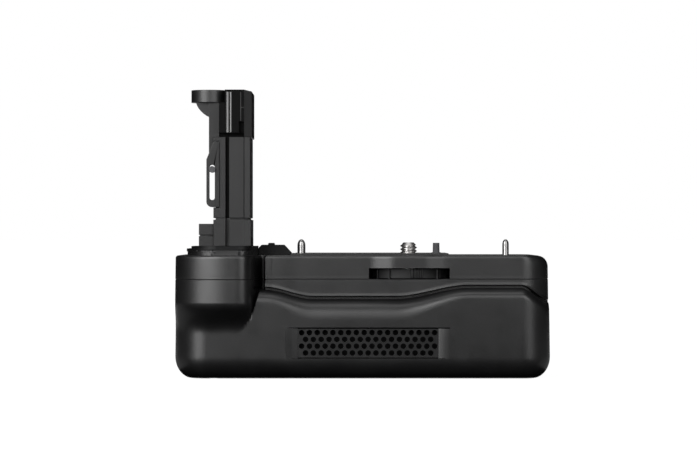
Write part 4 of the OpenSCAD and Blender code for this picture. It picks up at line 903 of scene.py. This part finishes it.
# Bracket under the disc, with a rounded lower edge
BRACKET_W = 4.56
BRACKET_H = 5.04
BRACKET_ROUND = 1.45
BRACKET_STEPS = 16
bracket_line = [(neck_x, disc_z), (neck_x, disc_z - BRACKET_H)]
for i in range(BRACKET_STEPS + 1):
    a = math.pi / 2 * i / BRACKET_STEPS
    bracket_line.append((disc_x - BRACKET_W * math.sin(a) ** (2 / BRACKET_ROUND),
                         disc_z - BRACKET_H * math.cos(a) ** (2 / BRACKET_ROUND)))
bracket = gather("head_bracket", [along_y(bracket_line, disc_y - BRACKET_W, disc_y + BRACKET_W)])
face_out(bracket.data)
smooth(bracket)
place(bracket, "grip", "head_black", tower_grey, "head_disc")

# Dark joint line down the tower's front, where its flat front meets the slanted edge
LINE_HALF = 0.14
LINE_OUT = 0.05
right_low, right_high = node_box("tower_right_shell")
tower_lines = gather("tower_lines", [
    half_round(flat_x, LINE_HALF, right_low.y, LINE_OUT, base_high.z, right_high.z)])
place(tower_lines, "grip", "head_black", head_black)

# Spring of the battery catch, smoothed and given a mesh of its own
spring = copy_of("catch_spring", "coil_spring")
smooth(spring)
place(spring, "grip", "bright_steel", bright_steel, "catch_spring")
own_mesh(spring)

# Finishes of the solids that stay
finishes = {
    "battery_door": shell_black, "top_pad": soft_black, "air_nozzle": nozzle_black, "lock_wheel": wheel_black,
    "door_latch": wheel_black, "tower_base": tower_grey,
    "tower_side_block": tower_grey, "tower_left_shell": tower_grey, "tower_right_shell": tower_grey,
    "slotted_ear": tower_grey, "tower_spine": head_black,
    "locating_pin_left": pin_steel, "locating_pin_right": pin_steel,
    "door_hinge_pin": bright_steel, "catch_pin": bright_steel,
    "index_pin": index_grey, "slot_pin": dark_metal, "lock_bracket": plain_steel,
    "bracket_screws": plain_steel, "board_screws": plain_steel, "blower_screws": plain_steel,
    "tripod_bush": plain_steel, "battery_tray": inner_black, "blower_housing": inner_black,
    "blower_cover": inner_black, "air_duct": inner_black, "fan_rotor": inner_black,
    "terminal_block": inner_pale, "battery_catch": inner_pale,
    "board_connector": inner_pale, "battery_contacts": contact_gold,
    "tower_contacts": contact_gold, "fan_motor": motor_copper, "fan_bearing": contact_gold,
    "main_board": board_green, "dust_filter": filter_mesh}
for name, finish in finishes.items():
    dress(name, finish)


# Stage: floor, lamps and camera

def seen_or_mirrored(tree):
    """1 for rays from the camera, a mirror or a glass, 0 for the rest."""
    path = tree.nodes.new("ShaderNodeLightPath")
    total = path.outputs["Is Camera Ray"]
    for kind in ("Is Glossy Ray", "Is Transmission Ray"):
        add = tree.nodes.new("ShaderNodeMath")
        add.operation = "ADD"
        add.use_clamp = True
        tree.links.new(total, add.inputs[0])
        tree.links.new(path.outputs[kind], add.inputs[1])
        total = add.outputs[0]
    return total


FLOOR_HALF = 20
FLOOR_GREY = (0.5, 0.5, 0.5, 1)
FLOOR_SEEN_GREY = (0.2, 0.2, 0.2, 1)
FLOOR_GLOW = 0.96
SKY_LIGHT = 0.25
SKY_SEEN = 1
FLOOR_CORNERS = ((-1, -1), (1, -1), (1, 1), (-1, 1))
floor_mesh = bpy.data.meshes.new("floor")
floor_mesh.from_pydata([(FLOOR_HALF * x, FLOOR_HALF * y, 0) for x, y in FLOOR_CORNERS], [], [[0, 1, 2, 3]])
floor = bpy.data.objects.new("floor", floor_mesh)
bpy.context.scene.collection.objects.link(floor)
pale = bpy.data.materials.new("pale_floor")
pale.use_nodes = True
tree = pale.node_tree
tree.nodes.clear()
matte = tree.nodes.new("ShaderNodeBsdfDiffuse")
matte.inputs["Color"].default_value = FLOOR_GREY
thin = tree.nodes.new("ShaderNodeBsdfDiffuse")
thin.inputs["Color"].default_value = FLOOR_SEEN_GREY
glow = tree.nodes.new("ShaderNodeEmission")
glow.inputs["Strength"].default_value = FLOOR_GLOW
white = tree.nodes.new("ShaderNodeAddShader")
pick = tree.nodes.new("ShaderNodeMixShader")
out = tree.nodes.new("ShaderNodeOutputMaterial")
tree.links.new(thin.outputs[0], white.inputs[0])
tree.links.new(glow.outputs[0], white.inputs[1])
tree.links.new(seen_or_mirrored(tree), pick.inputs[0])
tree.links.new(matte.outputs[0], pick.inputs[1])
tree.links.new(white.outputs[0], pick.inputs[2])
tree.links.new(pick.outputs[0], out.inputs[0])
floor_mesh.materials.append(pale)

world = bpy.data.worlds.new("studio")
bpy.context.scene.world = world
world.use_nodes = True
tree = world.node_tree
sky = tree.nodes["Background"]
tone = tree.nodes.new("ShaderNodeMix")
tone.inputs["A"].default_value = SKY_LIGHT
tone.inputs["B"].default_value = SKY_SEEN
tree.links.new(seen_or_mirrored(tree), tone.inputs["Factor"])
tree.links.new(tone.outputs["Result"], sky.inputs["Strength"])
sky.inputs["Color"].default_value = (1, 1, 1, 1)


def lamp(name, place_mm, width, height, power):
    """Area lamp that shines on the middle of the body's top."""
    light = bpy.data.lights.new(name, "AREA")
    light.shape = "RECTANGLE"
    light.size = width * MM
    light.size_y = height * MM
    light.energy = power
    holder = bpy.data.objects.new(name, light)
    bpy.context.scene.collection.objects.link(holder)
    holder.location = Vector(place_mm) * MM
    holder.rotation_euler = (Vector((0, 0, body_h)) - Vector(place_mm)).to_track_quat("-Z", "Y").to_euler()


def card(name, glow, low, high):
    """Dark or dimly lit card, flat or standing, that lamps shine through and the camera doesn't see."""
    (x0, y0, z0), (x1, y1, z1) = low, high
    if z0 == z1:
        corners = [(x0, y0, z0), (x1, y0, z0), (x1, y1, z0), (x0, y1, z0)]
    else:
        corners = [(x0, y0, z0), (x1, y1, z0), (x1, y1, z1), (x0, y0, z1)]
    mesh = bpy.data.meshes.new(name)
    mesh.from_pydata([Vector(corner) * MM for corner in corners], [], [[0, 1, 2, 3]])
    sheet = bpy.data.objects.new(name, mesh)
    bpy.context.scene.collection.objects.link(sheet)
    sheet.visible_camera = False
    sheet.visible_shadow = False
    felt = bpy.data.materials.new(name)
    felt.use_nodes = True
    cloth = felt.node_tree.nodes["Principled BSDF"].inputs
    cloth["Base Color"].default_value = (0.002, 0.002, 0.002, 1)
    cloth["Roughness"].default_value = 1
    cloth["Specular IOR Level"].default_value = 0
    cloth["Emission Color"].default_value = (1, 1, 1, 1)
    cloth["Emission Strength"].default_value = glow
    mesh.materials.append(felt)


LAMP_FAR = 1300
LAMP_RISE = math.radians(18)


def far(turn):
    """Place of a raised lamp, turned by degrees to the right of the front."""
    a = math.radians(turn)
    return (LAMP_FAR * math.cos(LAMP_RISE) * math.sin(a), -LAMP_FAR * math.cos(LAMP_RISE) * math.cos(a),
            body_h + LAMP_FAR * math.sin(LAMP_RISE))


lamp("key", far(-34), width=800, height=1500, power=22)
lamp("fill", far(42), width=1200, height=1500, power=12)
lamp("top", (0, 0, 1200), width=900, height=600, power=2)
lamp("back", (-300, 1100, 500), width=700, height=700, power=4)
card("floor_card", 0, low=(-900, -1100, 0.3), high=(900, 400, 0.3))
card("front_card", 0.42, low=(-3000, -1500, 0), high=(3000, -1500, 3000))
card("front_flag", 0, low=(-60, -140, 0), high=(110, -140, part_z))
card("roof_card", 0.15, low=(-900, -1500, 1600), high=(900, 700, 1600))
for side in (-1, 1):
    card("side_apron", 0.22, low=(side * 72, -30, 0.6), high=(side * 420, 60, 0.6))
card("rear_apron", 0.6, low=(-220, 60, 0.6), high=(220, 420, 0.6))
card("rear_card", 0, low=(-300, 700, 0), high=(300, 700, 900))
for side in (-1, 1):
    card("side_card", 0, low=(side * 300, -250, 0), high=(side * 300, 700, 900))

CAMERA_BACK = 1200
CAMERA_X = -5.2
CAMERA_Z = 53.8
SENSOR_W = 36
FOCAL = 164.9
CLIP_END = 200
lens = bpy.data.cameras.new("camera")
lens.sensor_fit = "HORIZONTAL"
lens.sensor_width = SENSOR_W
lens.lens = FOCAL
lens.clip_end = CLIP_END
camera = bpy.data.objects.new("camera", lens)
camera.location = Vector((CAMERA_X, -CAMERA_BACK, CAMERA_Z)) * MM
camera.rotation_euler = (math.pi / 2, 0, 0)
bpy.context.scene.collection.objects.link(camera)
bpy.context.scene.camera = camera
bpy.context.scene.view_settings.view_transform = "Standard"
